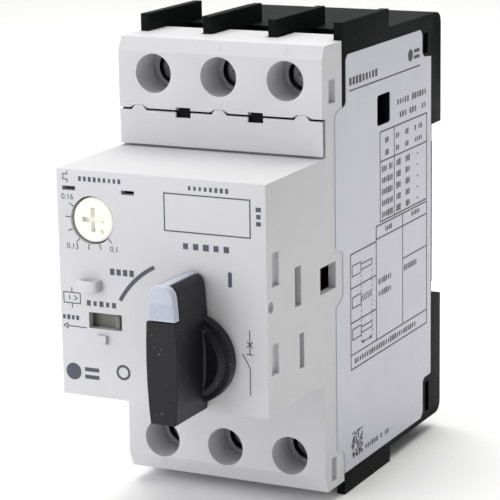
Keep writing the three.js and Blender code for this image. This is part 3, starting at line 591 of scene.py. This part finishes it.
def on_front_outside(edge):
    """The rims of the screw holes, and the long outer edges of the front block and the terminal blocks."""
    ends = [vertex.co for vertex in edge.verts]
    if max(p.y for p in ends) < TERMINAL_FRONT_Y + TOUCHING:
        for x, z in screw_axes.values():
            if max(math.hypot(p.x - x, p.z - z) for p in ends) < ACCESS_RADIUS + 0.05 * MM:
                return True
    if (ends[0] - ends[1]).length < SHORTEST_LONG_EDGE:
        return False
    middle = (ends[0] + ends[1]) / 2
    along_side = min(abs(middle.x - front_low.x), abs(middle.x - front_high.x)) < TOUCHING
    across = abs(ends[0].x - ends[1].x) > ACROSS_THE_FRONT
    return (along_side or across) and max(p.y for p in ends) < OUTER_EDGES_AHEAD_OF_Y


pale_plastic = moulded_plastic("pale_grey_thermoplastic", (0.60, 0.60, 0.622), 0.46, mottle=0.012)
front_skin = soften("front_housing", 0.10 * MM, 0.35 * MM, on_front_outside)
add_piece("front_casing", front_skin, "casing", "pale_plastic", pale_plastic, "front_housing")

# Each screw tube ends in a collar that keeps the loosened screw from falling out.
GUARD_INNER, GUARD_LIP, GUARD_OUTER = 3.4 * MM, 3.6 * MM, 4.7 * MM
GUARD_BACK, GUARD_FRONT = 47.95 * MM, 48.5 * MM
guard_outline = [(GUARD_INNER, GUARD_BACK), (GUARD_OUTER, GUARD_BACK), (GUARD_OUTER, GUARD_FRONT),
                 (GUARD_LIP, GUARD_FRONT), (GUARD_INNER, GUARD_BACK)]
for (side, number), (x, z) in screw_axes.items():
    guard = facing_front(guard_outline, x, z)
    add_piece(f"{side}_screw_guard_{number}", guard, "casing", "pale_plastic", pale_plastic)

# ---- accessory slot ----
# A black socket moulding sits in the front casing, and a pale snap-on plate covers it until an auxiliary
# contact block is plugged in.
socket_skin = soften("accessory_socket", 0.08 * MM)
add_piece("slot_socket", socket_skin, "casing", "black_plastic", black_plastic, "accessory_socket")
cover_skin = soften("slot_cover", 0.09 * MM)
add_piece("slot_plate", cover_skin, "cover", "pale_plastic", pale_plastic, "slot_cover")

# ---- test slider ----
# A grey moulding behind its window. Its colour is darkened to olive grey, which paints the shade that fills
# the window's recess. A screwdriver pushes its ridge to the left to trip the breaker.
# painted shade: this olive grey is the moulding as it looks in the shade of its recess, not its colour under
# an even light
slider_plastic = moulded_plastic("slider_grey_darkened_as_painted_shade", (0.17, 0.17, 0.145), 0.5, mottle=0.05)
slider_skin = soften("test_slider", 0.12 * MM)
add_piece("test_slide_bar", slider_skin, "test_slide", "slider_plastic", slider_plastic, "test_slider")

# ---- turning handle ----
# Black moulding: a disc with a rounded rim, and an upright blade. Its front edges are well rounded, and
# dust clings to its grain.
knob_front_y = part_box("knob")[0].y
DISC_RADIUS = 8.7 * MM
DISC_FRONT = 84.6 * MM
RIM_AHEAD_OF_Y = -84 * MM
BLADE_DEEP = 6 * MM  # an edge longer than this from front to back is an upright corner of the blade
LOWER_END_UNDER_Z = -12 * MM


def on_knob_outside(edge):
    """The rim of the disc, the lengthwise edges of the blade's front, and the corners of its lower end."""
    ends = [vertex.co for vertex in edge.verts]
    lengthwise = abs(ends[0].z - ends[1].z) > abs(ends[0].x - ends[1].x)
    on_front = all(abs(p.y - knob_front_y) < TOUCHING for p in ends) and lengthwise
    upright = abs(ends[0].y - ends[1].y) > BLADE_DEEP and max(p.z for p in ends) < LOWER_END_UNDER_Z
    reach = [math.hypot(p.x - handle_axis.x, p.z - handle_axis.z) for p in ends]
    on_rim = all(abs(r - DISC_RADIUS) < 0.15 * MM for r in reach) and ends[0].y < RIM_AHEAD_OF_Y
    return on_front or upright or on_rim


HANDLE_BLACK = (0.009, 0.009, 0.013)
knob_plastic = moulded_plastic("black_handle_plastic", HANDLE_BLACK, 0.34, depth=0.00003, dust=0.2, ior=1.34)
knob_skin = soften("knob", 0.1 * MM, 0.6 * MM, on_knob_outside, big_steps=1)
add_piece("handle_knob", knob_skin, "handle", "knob_plastic", knob_plastic, "knob")

# The disc is crowned: a flat rim, a sloped shoulder, and a shallow dish inside it that the blade stands in.
# Each point is a radius and a rise over the disc's front, in mm.
DISH_RISE = 0.5
CROWN = ((0, -0.3), (7.6, -0.3), (7.6, 0), (7.45, 0.18), (6.75, 0.72), (6.5, 0.85), (6.2, 0.85), (5.2, 0.6),
         (0, DISH_RISE))
crown_outline = [(radius * MM, DISC_FRONT + rise * MM) for radius, rise in CROWN]
crown = facing_front(crown_outline, handle_axis.x, handle_axis.z, 64, math.radians(40))
add_piece("handle_crown", crown, "handle", "knob_plastic", knob_plastic)

# A small fillet runs along both sides of the blade where it meets the dish. The side of the blade is one
# quadratic curve, bent by its middle point; each point is half the blade's width and a height, in mm.
BLADE_FOOT, BLADE_BELLY, BLADE_TOP = Vector((2.7, -9.8)), Vector((3.9, 1.5)), Vector((2.75, 14.2))
FILLET = 0.5 * MM
FILLET_ROOT = 0.1 * MM
FILLET_START, FILLET_STEP, FILLET_STEPS = 0.14, 0.045, 13
DISH = DISC_FRONT + DISH_RISE * MM
fillets = bmesh.new()
for side in (-1, 1):
    rows = []
    for step in range(FILLET_STEPS):
        t = FILLET_START + FILLET_STEP * step
        half, z = ((1 - t) ** 2 * BLADE_FOOT + 2 * t * (1 - t) * BLADE_BELLY + t * t * BLADE_TOP) * MM
        root = half - FILLET_ROOT
        corners = ((root, DISH), (half + FILLET, DISH), (root, DISH + FILLET))
        places = [(handle_axis.x + side * x, -y, handle_axis.z + z) for x, y in corners]
        rows.append([fillets.verts.new(place) for place in places])
    for lower, upper in zip(rows, rows[1:]):
        for corner in range(3):
            following = (corner + 1) % 3
            fillets.faces.new((lower[corner], lower[following], upper[following], upper[corner]))
    fillets.faces.new(rows[0])
    fillets.faces.new(rows[-1])
bmesh.ops.recalc_face_normals(fillets, faces=fillets.faces)
fillet_mesh = bpy.data.meshes.new("blade_fillets")
fillets.to_mesh(fillet_mesh)
fillets.free()
add_piece("handle_fillets", fillet_mesh, "handle", "knob_plastic", knob_plastic)


# ---- lock tab ----
# A pale moulding in the pointer end of the handle. Its cap has fine grip lines on the lower half, and it
# pulls out to bare a padlock hole.
def stamp_tree(name, material):
    """Rows and columns of small raised bars, each kept or left out by chance and given a width by chance."""
    tree, way_in, way_out = start_tree(name, (
        ("Columns", "Int", 1), ("Rows", "Int", 1), ("Column Pitch", "Float", MM), ("Row Pitch", "Float", MM),
        ("Bar", "Vector", (MM, MM, MM)), ("Narrowest", "Float", 1.0), ("Lowest", "Float", 1.0),
        ("Kept", "Float", 1.0), ("Seed", "Int", 0),
    ))
    nodes, links = tree.nodes, tree.links

    def line_of(count, pitch, axis):
        line = nodes.new("GeometryNodeMeshLine")
        step = nodes.new("ShaderNodeCombineXYZ")
        links.new(way_in.outputs[count], line.inputs["Count"])
        links.new(way_in.outputs[pitch], step.inputs[axis])
        links.new(step.outputs["Vector"], line.inputs["Offset"])
        return line

    def chance(kind):
        """A random value at each place, and the socket that gives it."""
        value = nodes.new("FunctionNodeRandomValue")
        value.data_type = kind
        links.new(way_in.outputs["Seed"], value.inputs["Seed"])
        return value, next(socket for socket in value.outputs if socket.enabled)

    bar = nodes.new("GeometryNodeMeshCube")
    links.new(way_in.outputs["Bar"], bar.inputs["Size"])
    columns = line_of("Columns", "Column Pitch", "X")
    rows = line_of("Rows", "Row Pitch", "Y")
    row = nodes.new("GeometryNodeInstanceOnPoints")
    links.new(rows.outputs["Mesh"], row.inputs["Points"])
    links.new(columns.outputs["Mesh"], row.inputs["Instance"])
    spots = nodes.new("GeometryNodeRealizeInstances")
    links.new(row.outputs["Instances"], spots.inputs["Geometry"])
    scale = nodes.new("ShaderNodeCombineXYZ")
    scale.inputs["Z"].default_value = 1.0
    for axis, least in (("X", "Narrowest"), ("Y", "Lowest")):
        share, share_value = chance("FLOAT")
        lowest = next(socket for socket in share.inputs if socket.name == "Min" and socket.type == "VALUE")
        links.new(way_in.outputs[least], lowest)
        links.new(share_value, scale.inputs[axis])
    kept, is_kept = chance("BOOLEAN")
    links.new(way_in.outputs["Kept"], kept.inputs["Probability"])
    stamped = nodes.new("GeometryNodeInstanceOnPoints")
    links.new(spots.outputs["Geometry"], stamped.inputs["Points"])
    links.new(bar.outputs["Mesh"], stamped.inputs["Instance"])
    links.new(scale.outputs["Vector"], stamped.inputs["Scale"])
    links.new(is_kept, stamped.inputs["Selection"])
    end_tree(tree, stamped.outputs["Instances"], way_out, material)
    return tree


FACE_FRONT = Matrix.Rotation(math.pi / 2, 4, "X")
CAP_LOW = 10.1 * MM  # from the handle's axis up to the foot of the cap
tab_plastic = moulded_plastic("pale_tab_plastic", (0.47, 0.50, 0.59), 0.42, mottle=0.015)
tab_front_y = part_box("knob_lock_tab")[0].y
cap_foot = handle_axis.z + CAP_LOW


def on_tab_outside(edge):
    """The edges round the front of the cap, but not its lower edge."""
    ends = [vertex.co for vertex in edge.verts]
    on_front = all(abs(p.y - tab_front_y) < TOUCHING for p in ends)
    return on_front and max(p.z for p in ends) > cap_foot + 0.1 * MM


tab_skin = soften("knob_lock_tab", 0.10 * MM, 0.5 * MM, on_tab_outside)
add_piece("lock_tab_moulding", tab_skin, "lock_tab", "tab_plastic", tab_plastic, "knob_lock_tab")
GRIP_LINES = 7
GRIP_PITCH = 0.42 * MM
GRIP_LINE = (4.7 * MM, 0.16 * MM, 0.16 * MM)
grip_start = Vector((handle_axis.x, tab_front_y, cap_foot + 0.5 * MM))
grip_tree = stamp_tree("grip_lines", tab_plastic)
grip_mesh = grow(
    grip_tree, Matrix.Translation(grip_start) @ FACE_FRONT,
    Columns=1, Rows=GRIP_LINES, Bar=GRIP_LINE, **{"Row Pitch": GRIP_PITCH},
)
add_piece("lock_tab_grip_lines", grip_mesh, "lock_tab", "tab_plastic", tab_plastic)

# ---- setting dial ----
# A white disc sunk in the front plate, with a softly rounded rim, a cross slot for a screwdriver and a
# pointer hole. It turns with its stem and the cam behind.
dial_plastic = moulded_plastic("white_dial_plastic", (0.93, 0.915, 0.84), 0.36, mottle=0.01)
RIM_BEYOND = 4.2 * MM  # edges on the dial's front that are further out than this are on its rim
dial_low, dial_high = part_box("setting_dial")
dial_centre = ((dial_low.x + dial_high.x) / 2, (dial_low.z + dial_high.z) / 2)


def on_dial_rim(edge):
    """The rim round the front of the dial."""
    ends = [vertex.co for vertex in edge.verts]
    reach = [math.hypot(p.x - dial_centre[0], p.z - dial_centre[1]) for p in ends]
    return all(abs(p.y - dial_low.y) < TOUCHING for p in ends) and min(reach) > RIM_BEYOND


dial_skin = soften("setting_dial", 0.12 * MM, 0.5 * MM, on_dial_rim)
add_piece("dial_disc", dial_skin, "dial", "dial_plastic", dial_plastic, "setting_dial")

# ---- marks on the front plate ----
# Pad-printed in dark blue-grey ink: the dial's scale, the on and off signs, the trip mark, the writing
# field, the test arrow and the switch symbol. Plain dashes stand for lines of words.
INK_DEPTH = 0.03 * MM
INK_ROOT = 0.2 * INK_DEPTH  # how far the ink reaches into the surface under it
ink = moulded_plastic("print_ink", (0.060, 0.066, 0.098), 0.42, depth=0.000004, mottle=0.08)
marks = bmesh.new()


def add_prism(shape, corners, plane):
    """A thin closed slab of ink on the given corners; plane turns two numbers and a height into a point."""
    bottom = [shape.verts.new(plane(a, b, -INK_ROOT)) for a, b in corners]
    top = [shape.verts.new(plane(a, b, INK_DEPTH)) for a, b in corners]
    shape.faces.new(bottom)
    shape.faces.new(top[::-1])
    for i in range(len(corners)):
        j = (i + 1) % len(corners)
        shape.faces.new((bottom[i], bottom[j], top[j], top[i]))


def add_line(shape, points, width, plane, closed=False):
    """A printed line through the points, with mitred corners, as one closed slab."""
    track = [Vector(p) for p in points]
    count = len(track)
    left, right = [], []
    for i, here in enumerate(track):
        before = track[i - 1] if i or closed else here
        after = track[(i + 1) % count] if i < count - 1 or closed else here
        into = (here - before).normalized() if before != here else (after - here).normalized()
        out = (after - here).normalized() if after != here else into
        across = Vector((-(into.y + out.y), into.x + out.x)).normalized()
        reach = width / 2 / max(0.4, across.dot(Vector((-out.y, out.x))))
        left.append(here + across * reach)
        right.append(here - across * reach)
    spans = range(count if closed else count - 1)
    corner_rows = ((left, -INK_ROOT), (right, -INK_ROOT), (right, INK_DEPTH), (left, INK_DEPTH))
    rings = [[shape.verts.new(plane(p.x, p.y, height)) for p in row] for row, height in corner_rows]
    for i in spans:
        j = (i + 1) % count
        for k in range(4):
            m = (k + 1) % 4
            shape.faces.new((rings[k][i], rings[m][i], rings[m][j], rings[k][j]))
    if not closed:
        shape.faces.new([ring[0] for ring in rings])
        shape.faces.new([ring[-1] for ring in rings][::-1])


def front_plane(x, z, height):
    return Vector((x, FRONT_PLATE_Y - height, z))


def mm(*points):
    return [(a * MM, b * MM) for a, b in points]


def arc(centre, radius, start, end, steps):
    """Points on an arc, its angles in degrees from +X towards +Z."""
    angles = [math.radians(start + (end - start) * i / steps) for i in range(steps + 1)]
    return [(centre[0] + radius * math.cos(a), centre[1] + radius * math.sin(a)) for a in angles]


def add_plain_mark(shape, centre, radius, bar_ends, bar_heights, width, plane):
    """A plain round spot with two short bars to its right; all measures are in mm."""
    add_prism(shape, mm(*arc(centre, radius, 0, 345, 23)), plane)
    for height in bar_heights:
        add_line(shape, mm(*((end, height) for end in bar_ends)), width * MM, plane)


# widths of the printed lines, in mm
THIN, MEDIUM, BOLD, HEAVY = 0.2, 0.26, 0.5, 0.8

# the dial's scale, with its angles in degrees, and the thick arc round the handle
TICKS, FIRST_TICK, TICK_STEP = 7, 148.5, 27.9
TICK_REACH = (4.8 * MM, 5.9 * MM)
for tick in range(TICKS):
    angle = math.radians(FIRST_TICK + TICK_STEP * tick)
    ends = [(dial_centre[0] + r * math.cos(angle), dial_centre[1] + r * math.sin(angle)) for r in TICK_REACH]
    add_line(marks, ends, THIN * MM, front_plane)
TRIP_ARC_RADIUS = 18.6 * MM
trip_arc = arc((handle_axis.x, handle_axis.z), TRIP_ARC_RADIUS, 150, 117, 14)
add_line(marks, trip_arc, HEAVY * MM, front_plane)

# each printed line: its width, whether it closes on itself, and its corners, in mm
FRONT_LINES = (
    # the on sign and the off sign
    (HEAVY, False, ((14.73, 1.29), (14.73, 4.17))),
    (BOLD, True, arc((-8.77, -17.96), 1.3, 0, 350, 35)),
    # the writing field
    (MEDIUM, True, ((1.1, 11.1), (19.1, 11.1), (19.1, 18.3), (1.1, 18.3))),
    # the heater sign over the dial
    (THIN, False, ((-20.0, 21.0), (-20.0, 20.4), (-20.9, 20.4), (-20.9, 19.4), (-20.0, 19.4), (-20.0, 18.7))),
    # the trip mark
    (THIN, True, ((-21.6, -5.1), (-17.9, -5.1), (-17.9, -3.0), (-21.6, -3.0))),
    (THIN, False, ((-19.75, -3.0), (-19.75, -2.0))),
    (THIN, False, ((-19.75, -5.1), (-19.75, -6.1))),
    (THIN, False, ((-20.3, -4.5), (-20.3, -3.6))),
    (THIN, False, ((-19.3, -3.6), (-18.6, -4.05), (-19.3, -4.5))),
    # the test arrow
    (THIN, False, ((-16.7, -9.8), (-20.9, -9.75))),
    (THIN, True, ((-21.8, -9.75), (-20.9, -9.25), (-20.9, -10.25))),
    # the switch symbol
    (THIN, False, ((18.65, -6.6), (18.65, -11.25))),
    (THIN, False, ((19.25, -10.0), (18.05, -8.9))),
    (THIN, False, ((18.05, -10.0), (19.25, -8.9))),
    (THIN, False, ((17.95, -11.35), (19.35, -11.35))),
    (THIN, False, ((17.13, -11.4), (18.65, -14.0), (18.65, -19.4))),
)
for width, closed, corners in FRONT_LINES:
    add_line(marks, mm(*corners), width * MM, front_plane, closed)
add_plain_mark(marks, (-19.9, -18.9), 1.7, (-17.4, -14.2), (-18.2, -19.7), HEAVY, front_plane)
bmesh.ops.recalc_face_normals(marks, faces=marks.faces)
front_print = bpy.data.meshes.new("front_print")
marks.to_mesh(front_print)
marks.free()
add_piece("front_symbols", front_print, "casing", "print_ink", ink)

FONT_SIZE = 1.38  # size of the font over the height of its figures


def add_number(name, text, height, centre, y, material, slot, depth):
    """A printed or raised number on a surface that faces the front."""
    words = bpy.data.curves.new(name, "FONT")
    words.body = text
    words.size = height * FONT_SIZE
    words.extrude = depth
    words.align_x = "CENTER"
    words.align_y = "CENTER"
    words.resolution_u = 6
    holder = bpy.data.objects.new(name, words)
    bpy.context.scene.collection.objects.link(holder)
    bpy.context.view_layer.update()
    mesh = bpy.data.meshes.new_from_object(holder.evaluated_get(bpy.context.evaluated_depsgraph_get()))
    bpy.data.objects.remove(holder)
    mesh.transform(Matrix.Translation((centre[0] * MM, y, centre[1] * MM)) @ FACE_FRONT)
    shape = bmesh.new()
    shape.from_mesh(mesh)
    bmesh.ops.remove_doubles(shape, verts=shape.verts, dist=0.001 * MM)
    shape.to_mesh(mesh)
    shape.free()
    return add_piece(name, mesh, "casing", slot, material)


DIAL_FIGURE = 1.15 * MM
DIAL_NUMBERS = (("0.16", (-20.05, 15.95)), ("0.13", (-19.2, 6.25)), ("0.1", (-10.0, 6.35)))
for index, (text, centre) in enumerate(DIAL_NUMBERS):
    name = f"dial_number_{index + 1}"
    add_number(name, text, DIAL_FIGURE, centre, FRONT_PLATE_Y, ink, "print_ink", INK_DEPTH)

dash_tree = stamp_tree("printed_dashes", ink)
# each line of dashes: left end, height above the middle, number of dashes, dash width and height, and pitch
FRONT_DASHES = (
    (-17.5, 19.7, 9, 0.62, 0.95, 1.08),
    (6.2, 19.6, 8, 0.66, 0.95, 1.12),
    (4.8, 8.4, 5, 1.35, 1.35, 2.15),
    (-11.1, 1.95, 4, 1.0, 1.3, 1.42),
    (-16.5, -4.75, 5, 0.95, 1.15, 1.4),
    (-22.0, -8.0, 4, 0.7, 0.95, 1.0),
)
DASH_DEPTH = 2 * INK_DEPTH  # half of each dash lies inside the surface under it
dash_meshes = []
for seed, (x, z, count, width, height, pitch) in enumerate(FRONT_DASHES):
    start = Vector(((x + width / 2) * MM, FRONT_PLATE_Y, z * MM))
    dash_meshes.append(grow(
        dash_tree, Matrix.Translation(start) @ FACE_FRONT, Columns=count, Rows=1, Narrowest=0.7, Lowest=0.8,
        Seed=seed, Bar=(width * MM, height * MM, DASH_DEPTH), **{"Column Pitch": pitch * MM},
    ))
# three dashes one over another beside the writing field
upright_start = Vector((20.85 * MM, FRONT_PLATE_Y, 13.9 * MM))
dash_meshes.append(grow(
    dash_tree, Matrix.Translation(upright_start) @ FACE_FRONT, Columns=1, Rows=3, Narrowest=0.8,
    Seed=9, Bar=(1.1 * MM, 0.85 * MM, DASH_DEPTH), **{"Row Pitch": 1.35 * MM},
))


def merged(meshes, name):
    """Several meshes as one."""
    shape = bmesh.new()
    for mesh in meshes:
        shape.from_mesh(mesh)
    whole = bpy.data.meshes.new(name)
    shape.to_mesh(whole)
    shape.free()
    return whole


add_piece("front_dashes", merged(dash_meshes, "front_dashes"), "casing", "print_ink", ink)

# ---- pole numbers ----
# Raised figures moulded on the chamfers over and under the screw holes, in the casing's own plastic.
POLE_X = (-14.5, 0, 14.5)
CHAMFER_DEEP, CHAMFER_HIGH = 1.4, 2.6
CHAMFER_MIDDLE_Y = -56.2 * MM
UPPER_NUMBERS_Z = 42.2
LOWER_NUMBERS_Z = -44.95
POLE_FIGURE = 1.5 * MM
RAISED = 0.05 * MM
chamfer_lean = math.atan2(CHAMFER_DEEP, CHAMFER_HIGH)


def add_pole_number(text, x, z, lean):
    name = f"pole_number_{text}"
    number = add_number(name, text, POLE_FIGURE, (0, 0), 0, pale_plastic, "pale_plastic", RAISED)
    on_chamfer = Vector((x * MM, CHAMFER_MIDDLE_Y, z * MM))
    number.data.transform(Matrix.Translation(on_chamfer) @ Matrix.Rotation(lean, 4, "X"))


for pole, x in enumerate(POLE_X):
    add_pole_number(str(2 * pole + 1), x, UPPER_NUMBERS_Z, -chamfer_lean)
    add_pole_number(str(2 * pole + 2), x, LOWER_NUMBERS_Z, chamfer_lean)

# ---- rating label ----
# A glossy lavender-grey polyester film on the right side. It was laid on by hand and is faintly wavy, and
# is printed with tables, wire-stripping pictures and a code square; dashes stand for the words.
film = moulded_plastic("wavy_label_film", (0.47, 0.47, 0.555), 0.2, depth=0.000002, mottle=0.03)
waves = noise_on(film, 26, 2, (1, 3.2, 0.45), 0.4)
film_surface = film.node_tree.nodes["Principled BSDF"]
wave_bump = film.node_tree.nodes.new("ShaderNodeBump")
wave_bump.inputs["Strength"].default_value = 0.5
wave_bump.inputs["Distance"].default_value = 0.0006
film.node_tree.links.new(waves, wave_bump.inputs["Height"])
film.node_tree.links.new(wave_bump.outputs["Normal"], film_surface.inputs["Coat Normal"])
film_surface.inputs["Coat Weight"].default_value = 0.6
film_surface.inputs["Coat Roughness"].default_value = 0.14
finish_node("side_label", film)

FACE_RIGHT = Matrix.Rotation(math.pi / 2, 4, "Z") @ Matrix.Rotation(math.pi / 2, 4, "X")
LABEL_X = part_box("side_label")[1].x
label_ink = moulded_plastic("label_ink", (0.012, 0.012, 0.016), 0.4, depth=0.000002, mottle=0.05)


def side_plane(y, z, height):
    return Vector((LABEL_X + height, y, z))


table = bmesh.new()
# the rules of the tables: the two ends of each, in mm
RULES = (
    ((-44.3, 33.1), (-7.3, 33.1)),
    ((-28.9, 16.1), (-3.5, 16.1)),
    ((-21.45, 3.6), (-21.45, 22.3)),
    ((-31.1, 0.3), (-3.4, 0.3)),
    ((-16.95, -21.1), (-16.95, 3.1)),
    ((-16.95, -6.8), (-3.4, -6.8)),
    ((-31.1, -21.1), (-31.1, 3.1)),
    ((-44.2, -7.2), (-31.1, -7.2)),
    ((-44.2, -14.4), (-31.1, -14.4)),
    ((-44.2, -21.1), (-3.4, -21.1)),
)
# the frames round the tables: the corners of each, in mm
TABLE_FRAMES = (
    ((-28.9, 3.6), (-3.5, 3.6), (-3.5, 22.3), (-28.9, 22.3)),
    ((-44.2, -24.1), (-3.4, -24.1), (-3.4, 3.0), (-31.1, 3.0), (-31.1, -0.1), (-44.2, -0.1)),
)
RULE, FRAME, PICTURE = 0.28 * MM, 0.3 * MM, 0.24 * MM
for ends in RULES:
    add_line(table, mm(*ends), RULE, side_plane)
for corners in TABLE_FRAMES:
    add_line(table, mm(*corners), FRAME, side_plane, closed=True)
# three pictures of a stripped wire, one in each row, and the dashed lines that show the stripped length
WIRE_ROWS = (-3.7, -10.3, -16.9)
JACKET_FROM, BARE_FROM, BARE_TO = -43.4, -39.0, -33.4
STRANDED_ROW, STRANDS, STRAND_PITCH = 1, 5, 1.1
for row, z in enumerate(WIRE_ROWS):
    jacket = ((JACKET_FROM, z - 1.1), (BARE_FROM, z - 1.1), (BARE_FROM, z + 1.1), (JACKET_FROM, z + 1.1))
    add_line(table, mm(*jacket), PICTURE, side_plane, closed=True)
    if row == STRANDED_ROW:
        for strand in range(STRANDS):
            y = -38.9 + strand * STRAND_PITCH
            add_line(table, mm((y, z - 0.7), (y + STRAND_PITCH, z + 0.7)), FRAME, side_plane)
    else:
        core = ((BARE_FROM, z + 0.6), (BARE_TO, z + 0.6), (BARE_TO, z - 0.6), (BARE_FROM, z - 0.6))
        add_line(table, mm(*core), PICTURE, side_plane)
STRIPPED_ENDS = (-38.9, -33.4)
DASHES, DASH_PITCH, DASH = 14, 1.05, 0.55
for y in STRIPPED_ENDS:
    for step in range(DASHES):
        z = -5.3 - step * DASH_PITCH
        add_line(table, mm((y, z), (y, z - DASH)), THIN * MM, side_plane)
# the measuring arrow under the pictures
ARROW_Z = -19.6
add_line(table, mm((-38.6, ARROW_Z), (-33.7, ARROW_Z)), 0.22 * MM, side_plane)
for tip, back in zip(STRIPPED_ENDS, (-37.8, -34.5)):
    add_prism(table, mm((tip, ARROW_Z), (back, ARROW_Z + 0.45), (back, ARROW_Z - 0.45)), side_plane)
add_plain_mark(table, (-12.6, 35.9), 1.3, (-10.6, -7.6), (36.5, 35.2), 0.7, side_plane)
bmesh.ops.recalc_face_normals(table, faces=table.faces)
table_mesh = bpy.data.meshes.new("label_table")
table.to_mesh(table_mesh)
table.free()
add_piece("label_tables", table_mesh, "casing", "label_ink", label_ink)

label_tree = stamp_tree("label_dashes", label_ink)
# each block: first dash, columns, rows, their pitches, dash width and height, narrowest share, share kept
LABEL_BLOCKS = (
    (-43.7, 34.9, 9, 1, 1.62, 1.0, 1.1, 1.6, 0.6, 1.0),
    (-19.4, 27.1, 12, 1, 1.36, 1.0, 0.9, 1.35, 0.5, 0.88),
    (-19.4, 24.3, 12, 1, 1.36, 1.0, 0.9, 1.35, 0.5, 0.85),
    (-25.8, 20.2, 2, 2, 1.0, -2.6, 0.7, 1.2, 0.6, 1.0),
    (-20.1, 20.2, 2, 2, 1.0, -2.6, 0.7, 1.2, 0.6, 1.0),
    (-15.1, 20.2, 2, 2, 1.0, -2.6, 0.7, 1.2, 0.6, 1.0),
    (-9.9, 20.2, 4, 2, 1.1, -2.6, 0.7, 1.2, 0.6, 0.9),
    (-27.6, 14.4, 6, 5, 0.98, -2.4, 0.72, 1.35, 0.6, 0.97),
    (-20.0, 14.4, 3, 5, 0.82, -2.4, 0.62, 1.45, 0.7, 1.0),
    (-15.0, 14.4, 3, 5, 0.82, -2.4, 0.62, 1.45, 0.7, 1.0),
    (-8.6, 14.4, 1, 5, 1.0, -2.4, 0.6, 0.35, 0.9, 1.0),
    (-25.9, 1.6, 4, 1, 0.95, 1.0, 0.6, 1.1, 0.6, 1.0),
    (-11.7, 1.9, 5, 1, 0.95, 1.0, 0.6, 1.1, 0.6, 1.0),
    (-29.6, -8.9, 7, 2, 1.0, -2.6, 0.66, 1.3, 0.6, 0.92),
    (-15.9, -9.0, 7, 1, 1.05, -2.3, 0.66, 1.3, 0.6, 0.92),
    (-43.1, -22.7, 28, 1, 1.22, 1.0, 0.85, 1.2, 0.5, 0.86),
    (-36.8, -42.4, 11, 1, 1.15, 1.0, 0.8, 1.1, 0.5, 0.88),
)
label_meshes = []
for seed, block in enumerate(LABEL_BLOCKS):
    y, z, columns, rows, column_pitch, row_pitch, width, height, narrowest, kept = block
    place = Matrix.Translation((LABEL_X, y * MM, z * MM)) @ FACE_RIGHT
    label_meshes.append(grow(
        label_tree, place, Columns=columns, Rows=rows, Narrowest=narrowest, Lowest=0.75, Kept=kept, Seed=seed,
        Bar=(width * MM, height * MM, DASH_DEPTH),
        **{"Column Pitch": column_pitch * MM, "Row Pitch": row_pitch * MM},
    ))
CODE_CELLS = 12
CODE_CELL = 0.47 * MM
CODE_BAR = (0.98 * CODE_CELL, 0.98 * CODE_CELL, DASH_DEPTH)
label_meshes.append(grow(
    label_tree, Matrix.Translation((LABEL_X, -44.0 * MM, -42.9 * MM)) @ FACE_RIGHT,
    Columns=CODE_CELLS, Rows=CODE_CELLS, Kept=0.52, Seed=7, Bar=CODE_BAR,
    **{"Column Pitch": CODE_CELL, "Row Pitch": CODE_CELL},
))
add_piece("label_words", merged(label_meshes, "label_words"), "casing", "label_ink", label_ink)
